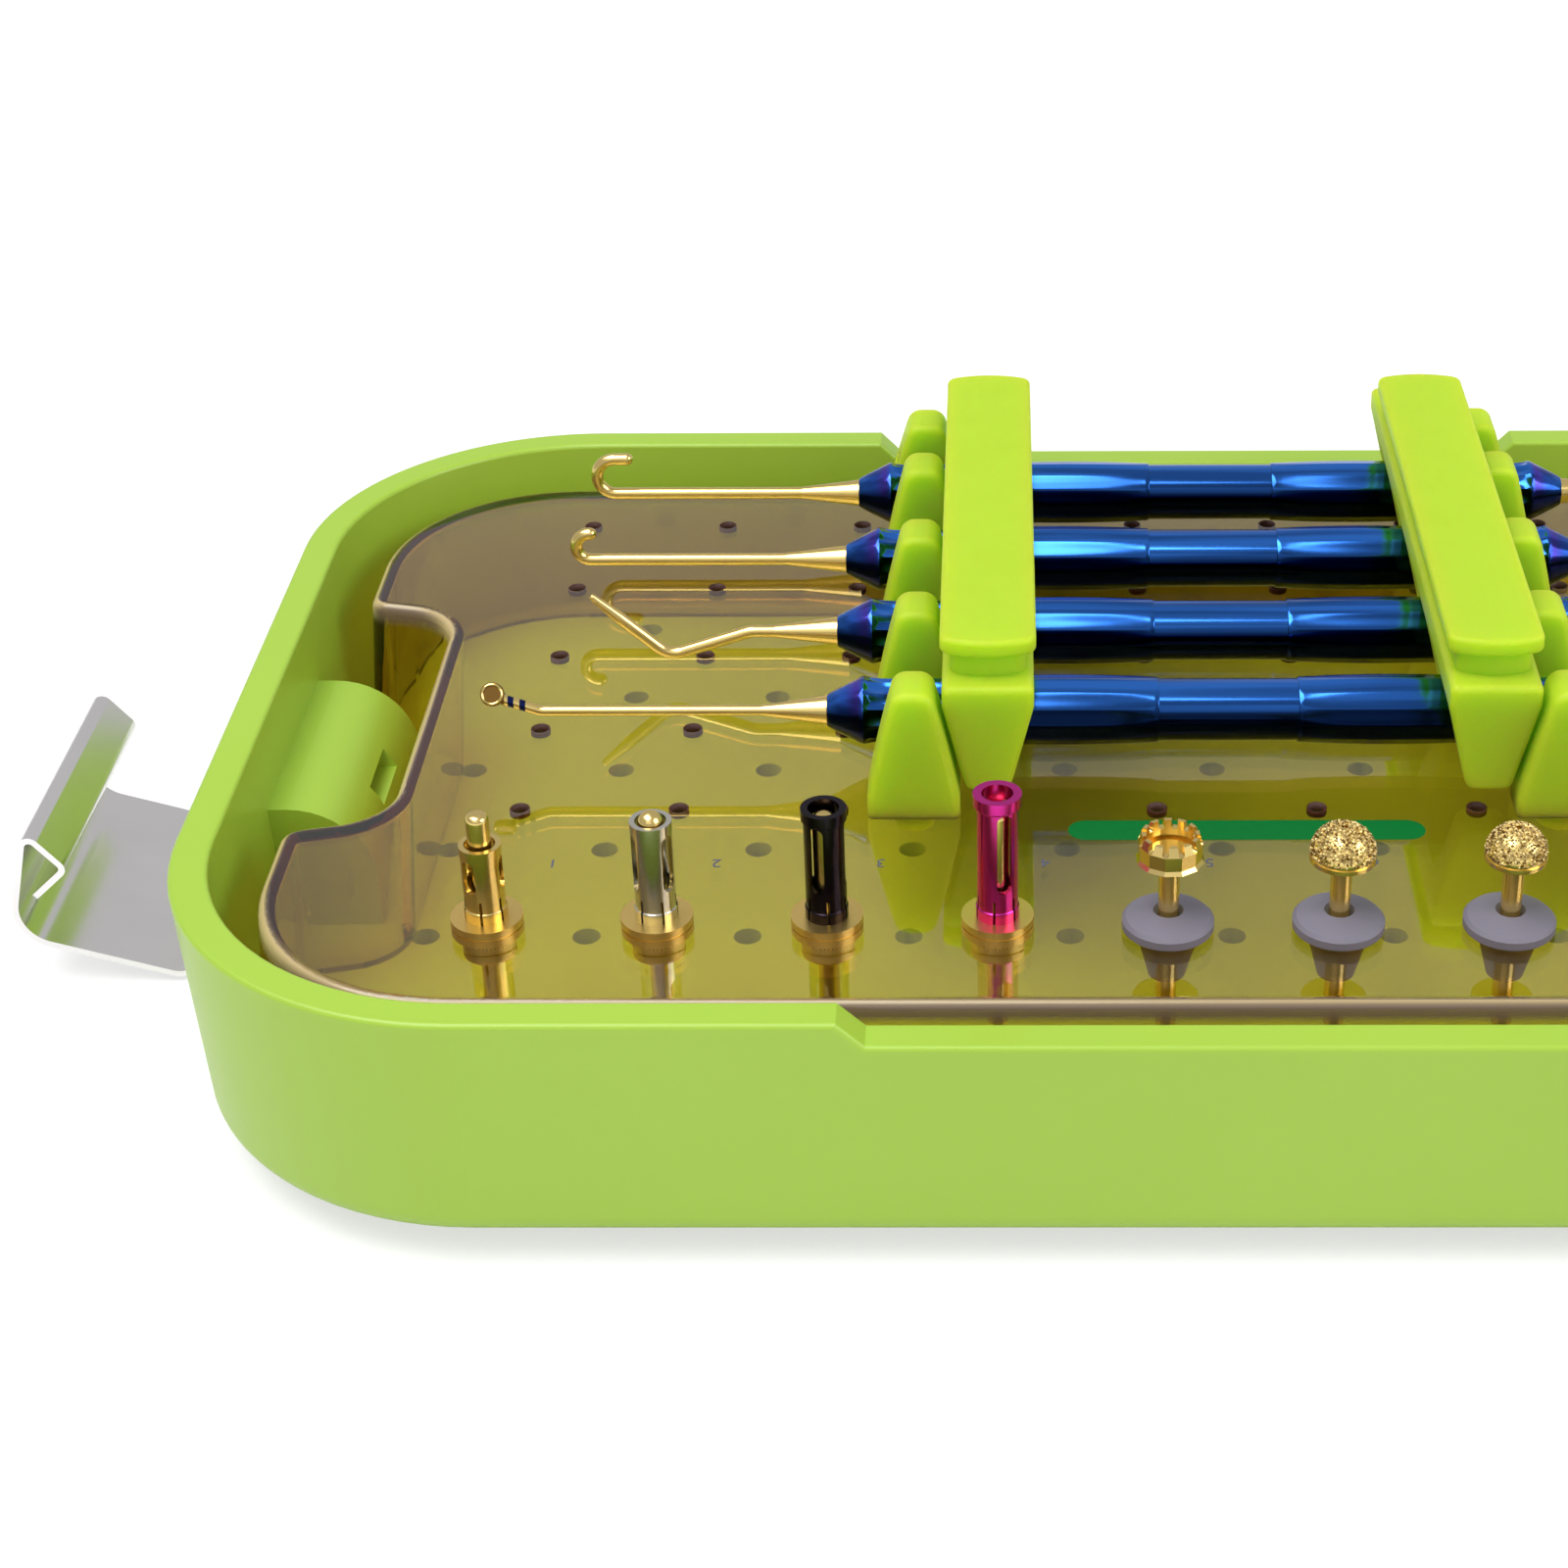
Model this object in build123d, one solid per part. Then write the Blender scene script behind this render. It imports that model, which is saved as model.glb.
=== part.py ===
from build123d import *
import os
from math import ceil, cos, hypot, pi, radians, sin, tan

os.makedirs("parts", exist_ok=True)

# Dental instrument cassette: an open tray with a lift-out insert, two instrument racks,
# a front row of ten holders and a bent steel latch at each end.
# Frame: +X along the tray, +Y towards its rear, +Z up, origin under its centre on the table.
# Lengths are in millimetres and angles in degrees.

# How close two coordinates are when they count as the same
TOUCH = 0.01

# ---- Tray shell ----
TRAY_LENGTH = 247.0
TRAY_WIDTH = 148.5
SHELL_HEIGHT = 29.6
TRAY_WALL = 4.5
TRAY_FLOOR = 3.0
TRAY_CORNER_R = 37.0
WALL_DRAFT = 3.0
BOTTOM_EDGE_R = 3.0
FLOOR_EDGE_R = 1.2
RIM_EDGE_R = 0.6
LOW_RIM_LENGTH = 91.8
LOW_RIM_DROP = 3.0
DRAIN_PITCH = 20.0
DRAIN_R = 1.75
DRAIN_MARGIN = 6.0
FOOT_HEIGHT = 4.2
FOOT_R = 6.0

# ---- End bosses, hollow from outside, that house the latches ----
BOSS_LENGTH = 32.4
BOSS_DEPTH = 12.9
BOSS_HEIGHT = 17.3
BOSS_ROUND = 10.0
BOSS_SKIN = 2.5
SLOT_LENGTH = 9.5
SLOT_HEIGHT = 2.6
SLOT_DROP = 5.0

# ---- Latches ----
LATCH_PIN_R = 1.25
LATCH_PIN_INSET = 7.0
LATCH_PIN_HEIGHT = 5.3
RUNNING_GAP = 0.06
LATCH_SHEET = 0.8
LATCH_WIDTH = 35.5
LATCH_NECK_SIDE_GAP = 1.2
LATCH_NECK_SPAN = 14.0
LATCH_NECK_DROP = 8.9
LATCH_ARM_SPAN = 21.8
LATCH_ARM_RISE = 6.5
LATCH_WALL_SPAN = 3.7
LATCH_WALL_RISE = 15.0
LATCH_LIP_SPAN = 4.4
LATCH_LIP_DROP = 5.3
LATCH_TAIL_SPAN = 4.3
LATCH_TAIL_DROP = 4.0
LATCH_BEND_R = 5.0
LATCH_FOLD_R = 1.0
LATCH_CORNER_R = 2.4

# ---- Insert ----
INSERT_SHIFT = -0.5
INSERT_END_GAP = 6.1
INSERT_SIDE_GAP = 5.65
INSERT_HEIGHT = 22.3
INSERT_CORNER_R = 24.0
DECK_THICKNESS = 2.0
SKIRT_THICKNESS = 2.0
SKIRT_DRAFT = 5.0
DECK_EDGE_R = 1.4
NOTCH_DEPTH = 12.0
NOTCH_MOUTH = 57.0
NOTCH_TAPER = 2.8
NOTCH_MOUTH_R = 0.8
NOTCH_BOTTOM_R = 8.0
HOLE_PITCH = 19.0
HOLE_COLUMNS = 10
HOLE_ROWS = 5
HOLE_R = 1.15
HOLDER_ROW_MARGIN = 14.35
HOLE_ROWS_MARGIN = 40.1

# ---- Double-ended instruments ----
HANDLE_COUNT = 4
HANDLE_LENGTH = 96.8
HANDLE_SHIFTS = (-1.2, -0.85, -0.6, 0.3)
NECK_R = 1.8
SHOULDER_R = 4.15
WAIST_R = 3.8
BARREL_R = 4.25
BARREL_BULGE = 0.3
LABEL_R = 3.75
SHOULDER_AT = 4.5
WAIST_AT = 5.4
WAIST_LENGTH = 8.6
BARREL_AT = 17.0
BARREL_LENGTH = 23.0
FLUTE_COUNT = 6
FLUTE_R = 2.0
FLUTE_DEPTH = 0.75
FLUTE_LENGTH = 5.0
SHANK_LENGTH = 8.0

# ---- Working tips, measured outwards and upwards from the handle's end ----
DISC_ROD_R = 0.65
DISC_REACH = 34.7
DISC_RISE_RUN = 4.6
DISC_RISE = 1.6
DISC_BEND_R = 2.0
DISC_R = 1.45
DISC_THICKNESS = 0.7
DISC_TILT = 32.0
CURETTE_ROD_R = 0.8
CURETTE_FALL_AT = 11.0
CURETTE_VALLEY = (21.5, -3.5)
CURETTE_NARROW = (27.5, 1.9)
CURETTE_POINT_LENGTH = 4.8
CURETTE_POINT_R = 0.42
CURETTE_BEND_R = 3.2
POINT_EDGE_R = 0.3
HOOK_ROD_R = 0.82
HOOK_FLAT = 0.1
SMALL_HOOK = (33.9, 1.85, 0.1)
LARGE_HOOK = (33.6, 2.55, 1.7)
LEFT_TIPS = ("disc", "curette", "small_hook", "large_hook")
RIGHT_TIPS = ("large_hook", "small_hook", "disc", "curette")

# ---- Instrument racks ----
RACK_PITCH = 20.2
RACK_CENTRE_Y = 17.1
COMB_INSET = 10.0
FINGER_THICKNESS = 6.7
FINGER_BASE = 11.0
FINGER_TOP = 4.4
FINGER_HEIGHT = 16.7
REAR_FINGER_HEIGHT = 14.0
FINGER_FOOT_HEIGHT = 2.6
FINGER_BULGE = 0.15
FINGER_TOP_R = 2.0
FINGER_EDGE_R = 0.9
SEAT_HEIGHT = 3.4
SEAT_LIP = 0.7
SEAT_WIDTH = 6.4
PEG_R = 1.75
PEG_REACH = 1.4
PEG_HEAD_R = 2.4

# ---- Clamp bars ----
RACK_GAP = 0.95
BAR_WIDTH = 10.8
BAR_FOOT_WIDTH = 5.2
BAR_FOOT_HEIGHT = 2.8
BAR_SHOULDER_HEIGHT = 14.0
BAR_BEAM = 5.0
BAR_END_INSET = 1.6
BAR_EDGE_R = 0.8
BAR_SLOT_R = 2.5
HANDLE_GAP = 0.3
SLAB_NECK_WIDTH = 8.9
SLAB_NECK_HEIGHT = 2.7
SLAB_WIDTH = 11.3
SLAB_THICKNESS = 2.2
SLAB_FRONT_INSET = 2.2
SLAB_REAR_INSET = 2.5
SLAB_OVERHANG = 0.8
SLAB_END_BOW = 1.3
SLAB_CORNER_R = 1.6
SLAB_EDGE_R = 0.6
BAR_PIN_R = 1.5
BAR_PIN_HEIGHT = 7.0
HINGE_RELIEF_R = 6.2
BODY_GAP = 0.3

# ---- Front row: four guides with drivers, six grommets with burs ----
GUIDE_COUNT = 4
GUIDE_R = 4.05
GUIDE_HEIGHT = 2.0
GUIDE_GROOVE = 0.2
GUIDE_SPIGOT_R = 3.0
GUIDE_SPIGOT_LENGTH = 4.0
GUIDE_SOCKET_DEPTH = 1.4
SLEEVE_R = 2.3
SLEEVE_BORE_R = 1.75
SLEEVE_BAND_R = 2.42
SLEEVE_TOPS = (11.3, 14.3, 15.9, 17.7)
SLEEVE_COLLARS = (0.05, 0.05, 0.25, 0.4)
COLLAR_HEIGHT = 1.3
BAND_HEIGHT = 1.3
SLIT_COUNT = 6
SLIT_WIDTH = 0.3
SLIT_HEIGHT = 2.9
WINDOW_COUNT = 3
FIRST_WINDOW = 10.0
SLEEVE_TURNS = (-13.4, 74.8, -2.1, 41.0)
WINDOW_WIDTH = 1.7
WINDOW_BASE = 1.0
DRILL_R = 1.3
DRILL_TOPS = (15.2, 15.4, 15.2, 15.6)
DRILL_EDGE_R = 0.8
DRILL_BALL_R = 1.45
DRILL_REACH = 12.0
GROMMET_R = 5.15
GROMMET_HEIGHT = 2.5
GROMMET_RIM = 1.3
GROMMET_EDGE = 0.4
GROMMET_MOUTH_R = 1.7
GROMMET_MOUTH_DEPTH = 0.7
GROMMET_NECK_R = 2.6
GROMMET_BARB_R = 3.4
GROMMET_TIP_R = 2.1
GROMMET_BARB_LENGTH = 5.0
BUR_SHANK_R = 1.175
SHANK_GAP = 0.08
BUR_REACH = 12.5
BUR_HEAD_AT = 9.2
CROWN_HEADS = {5: (3.85, 3.3), 8: (3.15, 2.9)}
CROWN_WALL = 0.45
CROWN_FLARE = 0.3
CROWN_FOOT_HEIGHT = 0.45
CROWN_RIDGE_INSET = 0.22
CROWN_TIP_INSET = 0.55
CROWN_FLOOR = 0.6
CROWN_DISC_SHARE = 0.58
CROWN_DISC_HEIGHT = 1.1
CROWN_TURN = 3.0
CROWN_TEETH = 12
CROWN_TOOTH_DEPTH = 1.1
CROWN_NOTCH = 0.7
DOME_HEADS = {6: (3.7, 4.1), 7: (3.45, 4.0), 9: (3.0, 3.6), 10: (2.5, 3.2)}
DOME_LIP = 0.5
DOME_STEP = 0.15
DOME_CROWN = 38.0
DOME_SWELL = 0.07
DOME_HOLE_R = 0.35
DOME_HOLE_DEPTH = 1.0

# ---- Heights and places that follow from the sizes above ----
DRAFT_RATE = tan(radians(WALL_DRAFT))
SHELL_BASE = FOOT_HEIGHT
FLOOR_TOP = SHELL_BASE + TRAY_FLOOR
RIM_TOP = SHELL_BASE + SHELL_HEIGHT
DECK_TOP = FLOOR_TOP + INSERT_HEIGHT
INNER_LENGTH = TRAY_LENGTH - 2 * TRAY_WALL
INNER_WIDTH = TRAY_WIDTH - 2 * TRAY_WALL
INNER_CORNER_R = TRAY_CORNER_R - TRAY_WALL
FLOOR_INSET = (RIM_TOP - FLOOR_TOP) * DRAFT_RATE
BOSS_FACE = INNER_LENGTH / 2 - BOSS_DEPTH
BOSS_TOP = FLOOR_TOP + BOSS_HEIGHT
POCKET_WIDTH = BOSS_LENGTH - 2 * BOSS_SKIN
FOOT_X = 3.5 * DRAIN_PITCH
FOOT_Y = 2.5 * DRAIN_PITCH
LATCH_PIN_X = -TRAY_LENGTH / 2 + LATCH_PIN_INSET
LATCH_PIN_Z = SHELL_BASE + LATCH_PIN_HEIGHT
INSERT_LENGTH = INNER_LENGTH - 2 * INSERT_END_GAP
INSERT_WIDTH = INNER_WIDTH - 2 * INSERT_SIDE_GAP
HOLDER_ROW_Y = -INSERT_WIDTH / 2 + HOLDER_ROW_MARGIN
HOLE_ROWS_Y = -INSERT_WIDTH / 2 + HOLE_ROWS_MARGIN
COLUMNS = [INSERT_SHIFT + (i - (HOLE_COLUMNS - 1) / 2) * HOLE_PITCH for i in range(HOLE_COLUMNS)]
HANDLES = [RACK_CENTRE_Y + (i - (HANDLE_COUNT - 1) / 2) * RACK_PITCH for i in range(HANDLE_COUNT)]
FINGERS = [RACK_CENTRE_Y + (i - HANDLE_COUNT / 2) * RACK_PITCH for i in range(HANDLE_COUNT + 1)]
AXIS_Z = DECK_TOP + SEAT_HEIGHT + WAIST_R
COMB_FROM_CENTRE = HANDLE_LENGTH / 2 - COMB_INSET
BAR_FROM_CENTRE = COMB_FROM_CENTRE - (FINGER_BASE + FINGER_TOP + BAR_FOOT_WIDTH + BAR_WIDTH) / 4 - RACK_GAP
SLOT_TOP_Z = AXIS_Z + BARREL_R + HANDLE_GAP
BEAM_TOP_Z = SLOT_TOP_Z + BAR_BEAM
BAR_PIN_Y = FINGERS[-1]
BAR_PIN_Z = DECK_TOP + BAR_PIN_HEIGHT


def save(shape, name):
    export_step(shape, f"parts/{name}.step")


def along_y(profile, length, y=0.0):
    """A profile drawn in (x, z), stretched half of the length each way from y."""
    return Pos(0, y, 0) * extrude(Plane.XZ * profile, amount=length / 2, both=True)


def turned(*points):
    """A solid turned about Z from an outline of (radius, height) points."""
    return revolve(Plane.XZ * make_face(Polyline(*points, close=True)), Axis.Z)


def mirrored(shape):
    """The same shape at the other end of the tray."""
    return mirror(shape, about=Plane.YZ)


# ---- Tray ----
def drafted_block(length, width, corner_r, top, bottom):
    """A rounded block, full size at its top and narrower downwards."""
    inset = (top - bottom) * DRAFT_RATE
    upper = Pos(0, 0, top) * RectangleRounded(length, width, corner_r)
    lower = Pos(0, 0, bottom) * RectangleRounded(length - 2 * inset, width - 2 * inset, corner_r - inset)
    return loft([lower, upper], ruled=True)


def boss_block(face, top, outer_end, bottom, rounding, length):
    """A bar across the left end of the tray, rounded along its inner top edge."""
    corners = ((outer_end, bottom), (face, bottom), (face, top), (outer_end, top))
    outline = make_face(Polyline(*corners, close=True))
    inner_top = outline.vertices().sort_by(lambda corner: corner.X + corner.Y)[-1]
    return along_y(fillet(inner_top, rounding), length)


def drain_places():
    """Drain centres on a square grid, clear of the floor's edge and of the end bosses."""
    half_length = INNER_LENGTH / 2 - FLOOR_INSET
    half_width = INNER_WIDTH / 2 - FLOOR_INSET
    corner_r = INNER_CORNER_R - FLOOR_INSET
    columns = ceil(half_length / DRAIN_PITCH)
    rows = ceil(half_width / DRAIN_PITCH)
    places = []
    for x in [i * DRAIN_PITCH for i in range(-columns, columns + 1)]:
        for y in [j * DRAIN_PITCH for j in range(-rows, rows + 1)]:
            past_x = abs(x) - (half_length - corner_r)
            past_y = abs(y) - (half_width - corner_r)
            from_edge = corner_r - hypot(max(past_x, 0), max(past_y, 0))
            from_side = min(half_length - abs(x), half_width - abs(y))
            from_boss = hypot(max(BOSS_FACE - abs(x), 0), max(abs(y) - BOSS_LENGTH / 2, 0))
            if min(from_edge, from_side, from_boss) >= DRAIN_MARGIN:
                places.append((x, y))
    return places


def across_wall(edge):
    """Whether an edge of the rim runs from the outer wall to the inner one, at a step in its height."""
    return abs(edge.tangent_at(0.5).X) < TOUCH and abs(edge.center().Y) > TRAY_WIDTH / 4


def make_tray():
    outer = drafted_block(TRAY_LENGTH, TRAY_WIDTH, TRAY_CORNER_R, RIM_TOP, SHELL_BASE)
    outer = fillet(outer.edges().group_by(Axis.Z)[0], BOTTOM_EDGE_R)
    inner = drafted_block(INNER_LENGTH, INNER_WIDTH, INNER_CORNER_R, RIM_TOP, FLOOR_TOP)
    inner = fillet(inner.edges().group_by(Axis.Z)[0], FLOOR_EDGE_R)
    shell = outer - inner

    low_rim = RIM_TOP - LOW_RIM_DROP
    half_low = LOW_RIM_LENGTH / 2 - LOW_RIM_DROP
    half_cut = LOW_RIM_LENGTH / 2 + LOW_RIM_DROP
    dip = make_face(Polyline((-half_low, low_rim), (half_low, low_rim),
                             (half_cut, low_rim + 2 * LOW_RIM_DROP),
                             (-half_cut, low_rim + 2 * LOW_RIM_DROP), close=True))
    shell -= along_y(dip, 2 * TRAY_WIDTH)
    rim = shell.edges().filter_by_position(Axis.Z, low_rim - TOUCH, RIM_TOP + TOUCH)
    shell = fillet([edge for edge in rim if not across_wall(edge)], RIM_EDGE_R)

    outer_end = -TRAY_LENGTH / 2
    boss = boss_block(-BOSS_FACE, BOSS_TOP, outer_end + TRAY_WALL / 2, FLOOR_TOP - TRAY_FLOOR / 2,
                      BOSS_ROUND, BOSS_LENGTH)
    pocket = boss_block(-BOSS_FACE - BOSS_SKIN, BOSS_TOP - BOSS_SKIN, outer_end - TRAY_WALL,
                        SHELL_BASE - TRAY_FLOOR, BOSS_ROUND - BOSS_SKIN, POCKET_WIDTH)
    slot = Pos(-BOSS_FACE, 0, BOSS_TOP - SLOT_DROP) * Box(4 * BOSS_SKIN, SLOT_LENGTH, SLOT_HEIGHT)
    pin_hole = Pos(LATCH_PIN_X, 0, LATCH_PIN_Z) * Rot(90, 0, 0) * Cylinder(LATCH_PIN_R, BOSS_LENGTH)
    added = boss
    removed = pocket + slot + pin_hole
    shell = shell + added + mirrored(added) - removed - mirrored(removed)
    return shell - [Pos(x, y, FLOOR_TOP) * Cylinder(DRAIN_R, 4 * TRAY_FLOOR) for x, y in drain_places()]


def make_feet():
    foot = Cylinder(FOOT_R, FOOT_HEIGHT, align=(Align.CENTER, Align.CENTER, Align.MIN))
    foot = fillet(foot.edges().group_by(Axis.Z)[0], FOOT_HEIGHT / 4)
    return Compound([Pos(x, y, 0) * foot for x in (-FOOT_X, FOOT_X) for y in (-FOOT_Y, FOOT_Y)])


# ---- Latches ----
def make_latch_pin():
    return Pos(LATCH_PIN_X, 0, LATCH_PIN_Z) * Rot(90, 0, 0) * Cylinder(LATCH_PIN_R, BOSS_LENGTH)


def make_latch():
    """The left latch: one strip of sheet, curled round its pin, swung down and hooked at its end."""
    bore_r = LATCH_PIN_R + RUNNING_GAP
    neck_width = POCKET_WIDTH - 2 * LATCH_NECK_SIDE_GAP
    tangent_r = bore_r + LATCH_SHEET / 2
    neck_run = hypot(LATCH_NECK_SPAN, LATCH_NECK_DROP)
    start = (LATCH_PIN_X + tangent_r * LATCH_NECK_DROP / neck_run,
             LATCH_PIN_Z - tangent_r * LATCH_NECK_SPAN / neck_run)
    steps = ((-LATCH_NECK_SPAN, -LATCH_NECK_DROP), (-LATCH_ARM_SPAN, LATCH_ARM_RISE),
             (LATCH_WALL_SPAN, LATCH_WALL_RISE), (LATCH_LIP_SPAN, -LATCH_LIP_DROP),
             (-LATCH_TAIL_SPAN, -LATCH_TAIL_DROP))
    corners = [(LATCH_PIN_X, LATCH_PIN_Z)]
    for dx, dz in steps:
        corners.append((corners[-1][0] + dx, corners[-1][1] + dz))
    centre_line = FilletPolyline(start, *corners[1:],
                                 radius=[LATCH_BEND_R, LATCH_BEND_R, LATCH_FOLD_R, LATCH_FOLD_R])
    strip = along_y(trace(centre_line, LATCH_SHEET), LATCH_WIDTH)

    bend_x = corners[1][0]
    far_x = corners[2][0] - LATCH_BEND_R
    plan = make_face(Polyline((0, -neck_width / 2), (bend_x, -neck_width / 2), (bend_x, -LATCH_WIDTH / 2),
                              (far_x, -LATCH_WIDTH / 2), (far_x, LATCH_WIDTH / 2), (bend_x, LATCH_WIDTH / 2),
                              (bend_x, neck_width / 2), (0, neck_width / 2), close=True))
    shoulders = [corner for corner in plan.vertices() if abs(corner.X - bend_x) < 0.01]
    plan = fillet(shoulders, LATCH_CORNER_R)
    strip = strip & extrude(plan, amount=TRAY_LENGTH, both=True)
    barrel = Pos(LATCH_PIN_X, 0, LATCH_PIN_Z) * Rot(90, 0, 0) * Cylinder(bore_r + LATCH_SHEET, neck_width)
    bore = Pos(LATCH_PIN_X, 0, LATCH_PIN_Z) * Rot(90, 0, 0) * Cylinder(bore_r, 2 * neck_width)
    return strip + barrel - bore


# ---- Insert ----
def insert_outline(grow, z):
    """The insert's plan: a rounded rectangle notched at both ends, grown outwards by an offset."""
    x = INSERT_LENGTH / 2 + grow
    y = INSERT_WIDTH / 2 + grow
    notch_x = x - NOTCH_DEPTH
    mouth_y = NOTCH_MOUTH / 2 - grow
    bottom_y = mouth_y - NOTCH_TAPER
    quarter = [(x, mouth_y), (x, y), (-x, y), (-x, mouth_y), (-notch_x, bottom_y)]
    points = [(notch_x, bottom_y)] + quarter
    points += [(px, -py) for px, py in reversed(points)]
    face = make_face(Polyline(*points, close=True))
    face = fillet([v for v in face.vertices() if abs(v.Y) > y - 0.01], INSERT_CORNER_R + grow)
    mouth = [v for v in face.vertices() if abs(abs(v.X) - x) < 0.01 and abs(abs(v.Y) - mouth_y) < 0.01]
    face = fillet(mouth, NOTCH_MOUTH_R + SKIRT_THICKNESS + grow)
    bottom = [v for v in face.vertices() if abs(abs(v.X) - notch_x) < 0.01]
    face = fillet(bottom, NOTCH_BOTTOM_R - grow)
    return Pos(INSERT_SHIFT, 0, z) * face


def make_insert():
    spread = tan(radians(SKIRT_DRAFT))
    under = DECK_TOP - DECK_THICKNESS
    below = FLOOR_TOP - DECK_THICKNESS / 2
    outer = loft([insert_outline(INSERT_HEIGHT * spread, FLOOR_TOP), insert_outline(0, DECK_TOP)], ruled=True)
    outer = fillet(outer.edges().group_by(Axis.Z)[-1], DECK_EDGE_R)
    inner = loft([insert_outline((DECK_TOP - below) * spread - SKIRT_THICKNESS, below),
                  insert_outline(DECK_THICKNESS * spread - SKIRT_THICKNESS, under)], ruled=True)
    plate = outer - inner
    holes = []
    for place, x in enumerate(COLUMNS):
        neck_r = GUIDE_SPIGOT_R if place < GUIDE_COUNT else GROMMET_NECK_R
        holes.append(deck_hole(x, HOLDER_ROW_Y, neck_r))
        for row in range(HOLE_ROWS):
            holes.append(deck_hole(x, HOLE_ROWS_Y + row * HOLE_PITCH, HOLE_R))
    for x, y in peg_places():
        holes.append(deck_hole(x, y, PEG_R))
    return plate - holes


def deck_hole(x, y, radius):
    return Pos(x, y, DECK_TOP) * Cylinder(radius, 4 * DECK_THICKNESS)


# ---- Racks ----
def peg_places():
    """Where each comb is pegged through the deck: under its first, middle and last fingers."""
    combs = (INSERT_SHIFT - COMB_FROM_CENTRE, INSERT_SHIFT + COMB_FROM_CENTRE)
    return [(x, y) for x in combs for y in (FINGERS[0], FINGERS[HANDLE_COUNT // 2], FINGERS[-1])]


def make_finger(height, y):
    """One finger: an upright foot, bowed sides that lean in and a rounded crest."""
    half_base = FINGER_BASE / 2
    half_top = FINGER_TOP / 2
    middle = ((half_base + half_top) / 2 + FINGER_BULGE, (FINGER_FOOT_HEIGHT + height) / 2)
    right = ThreePointArc((half_base, FINGER_FOOT_HEIGHT), middle, (half_top, height))
    left = ThreePointArc((-half_top, height), (-middle[0], middle[1]), (-half_base, FINGER_FOOT_HEIGHT))
    foot = Polyline((-half_base, FINGER_FOOT_HEIGHT), (-half_base, 0), (half_base, 0),
                    (half_base, FINGER_FOOT_HEIGHT))
    outline = make_face([foot, right, Line((half_top, height), (-half_top, height)), left])
    outline = fillet(outline.vertices().group_by(Axis.Y)[-1], FINGER_TOP_R)
    finger = along_y(outline, FINGER_THICKNESS, y)
    ends = [edge for edge in finger.edges() if abs(abs(edge.center().Y - y) - FINGER_THICKNESS / 2) < TOUCH]
    return fillet([edge for edge in ends if edge.center().Z > TOUCH], FINGER_EDGE_R)


def make_comb(x):
    """Five fingers on a strip whose hollows hold the instruments' waists, pegged through the deck."""
    first = FINGERS[0]
    last = FINGERS[-1]
    strip_top = SEAT_HEIGHT + SEAT_LIP
    comb = Pos(0, (first + last) / 2, strip_top / 2) * Box(SEAT_WIDTH, last - first, strip_top)
    for y in FINGERS:
        comb += make_finger(REAR_FINGER_HEIGHT if y == last else FINGER_HEIGHT, y)
    for y in HANDLES:
        comb -= Pos(0, y, SEAT_HEIGHT + WAIST_R) * Rot(0, 90, 0) * Cylinder(WAIST_R, 2 * FINGER_BASE)
    comb = Pos(x, 0, DECK_TOP) * comb
    for peg_x, y in peg_places():
        if abs(peg_x - x) < PEG_R:
            shaft = Cylinder(PEG_R, DECK_THICKNESS, align=(Align.CENTER, Align.CENTER, Align.MAX))
            head = Cylinder(PEG_HEAD_R, PEG_REACH, align=(Align.CENTER, Align.CENTER, Align.MAX))
            comb += Pos(x, y, DECK_TOP) * (shaft + Pos(0, 0, -DECK_THICKNESS) * head)
    return comb - bar_pin_bore(BAR_PIN_R)


def bar_pin_bore(radius):
    return Pos(INSERT_SHIFT, BAR_PIN_Y, BAR_PIN_Z) * Rot(0, 90, 0) * Cylinder(radius, 4 * COMB_FROM_CENTRE)


def make_bar_pin(side):
    """A short pin from the rear finger of one comb through the rear tooth of its clamp bar."""
    outer_end = COMB_FROM_CENTRE + FINGER_TOP / 2
    inner_end = BAR_FROM_CENTRE - BAR_FOOT_WIDTH / 2
    middle = INSERT_SHIFT + side * (outer_end + inner_end) / 2
    return Pos(middle, BAR_PIN_Y, BAR_PIN_Z) * Rot(0, 90, 0) * Cylinder(BAR_PIN_R, outer_end - inner_end)


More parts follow.
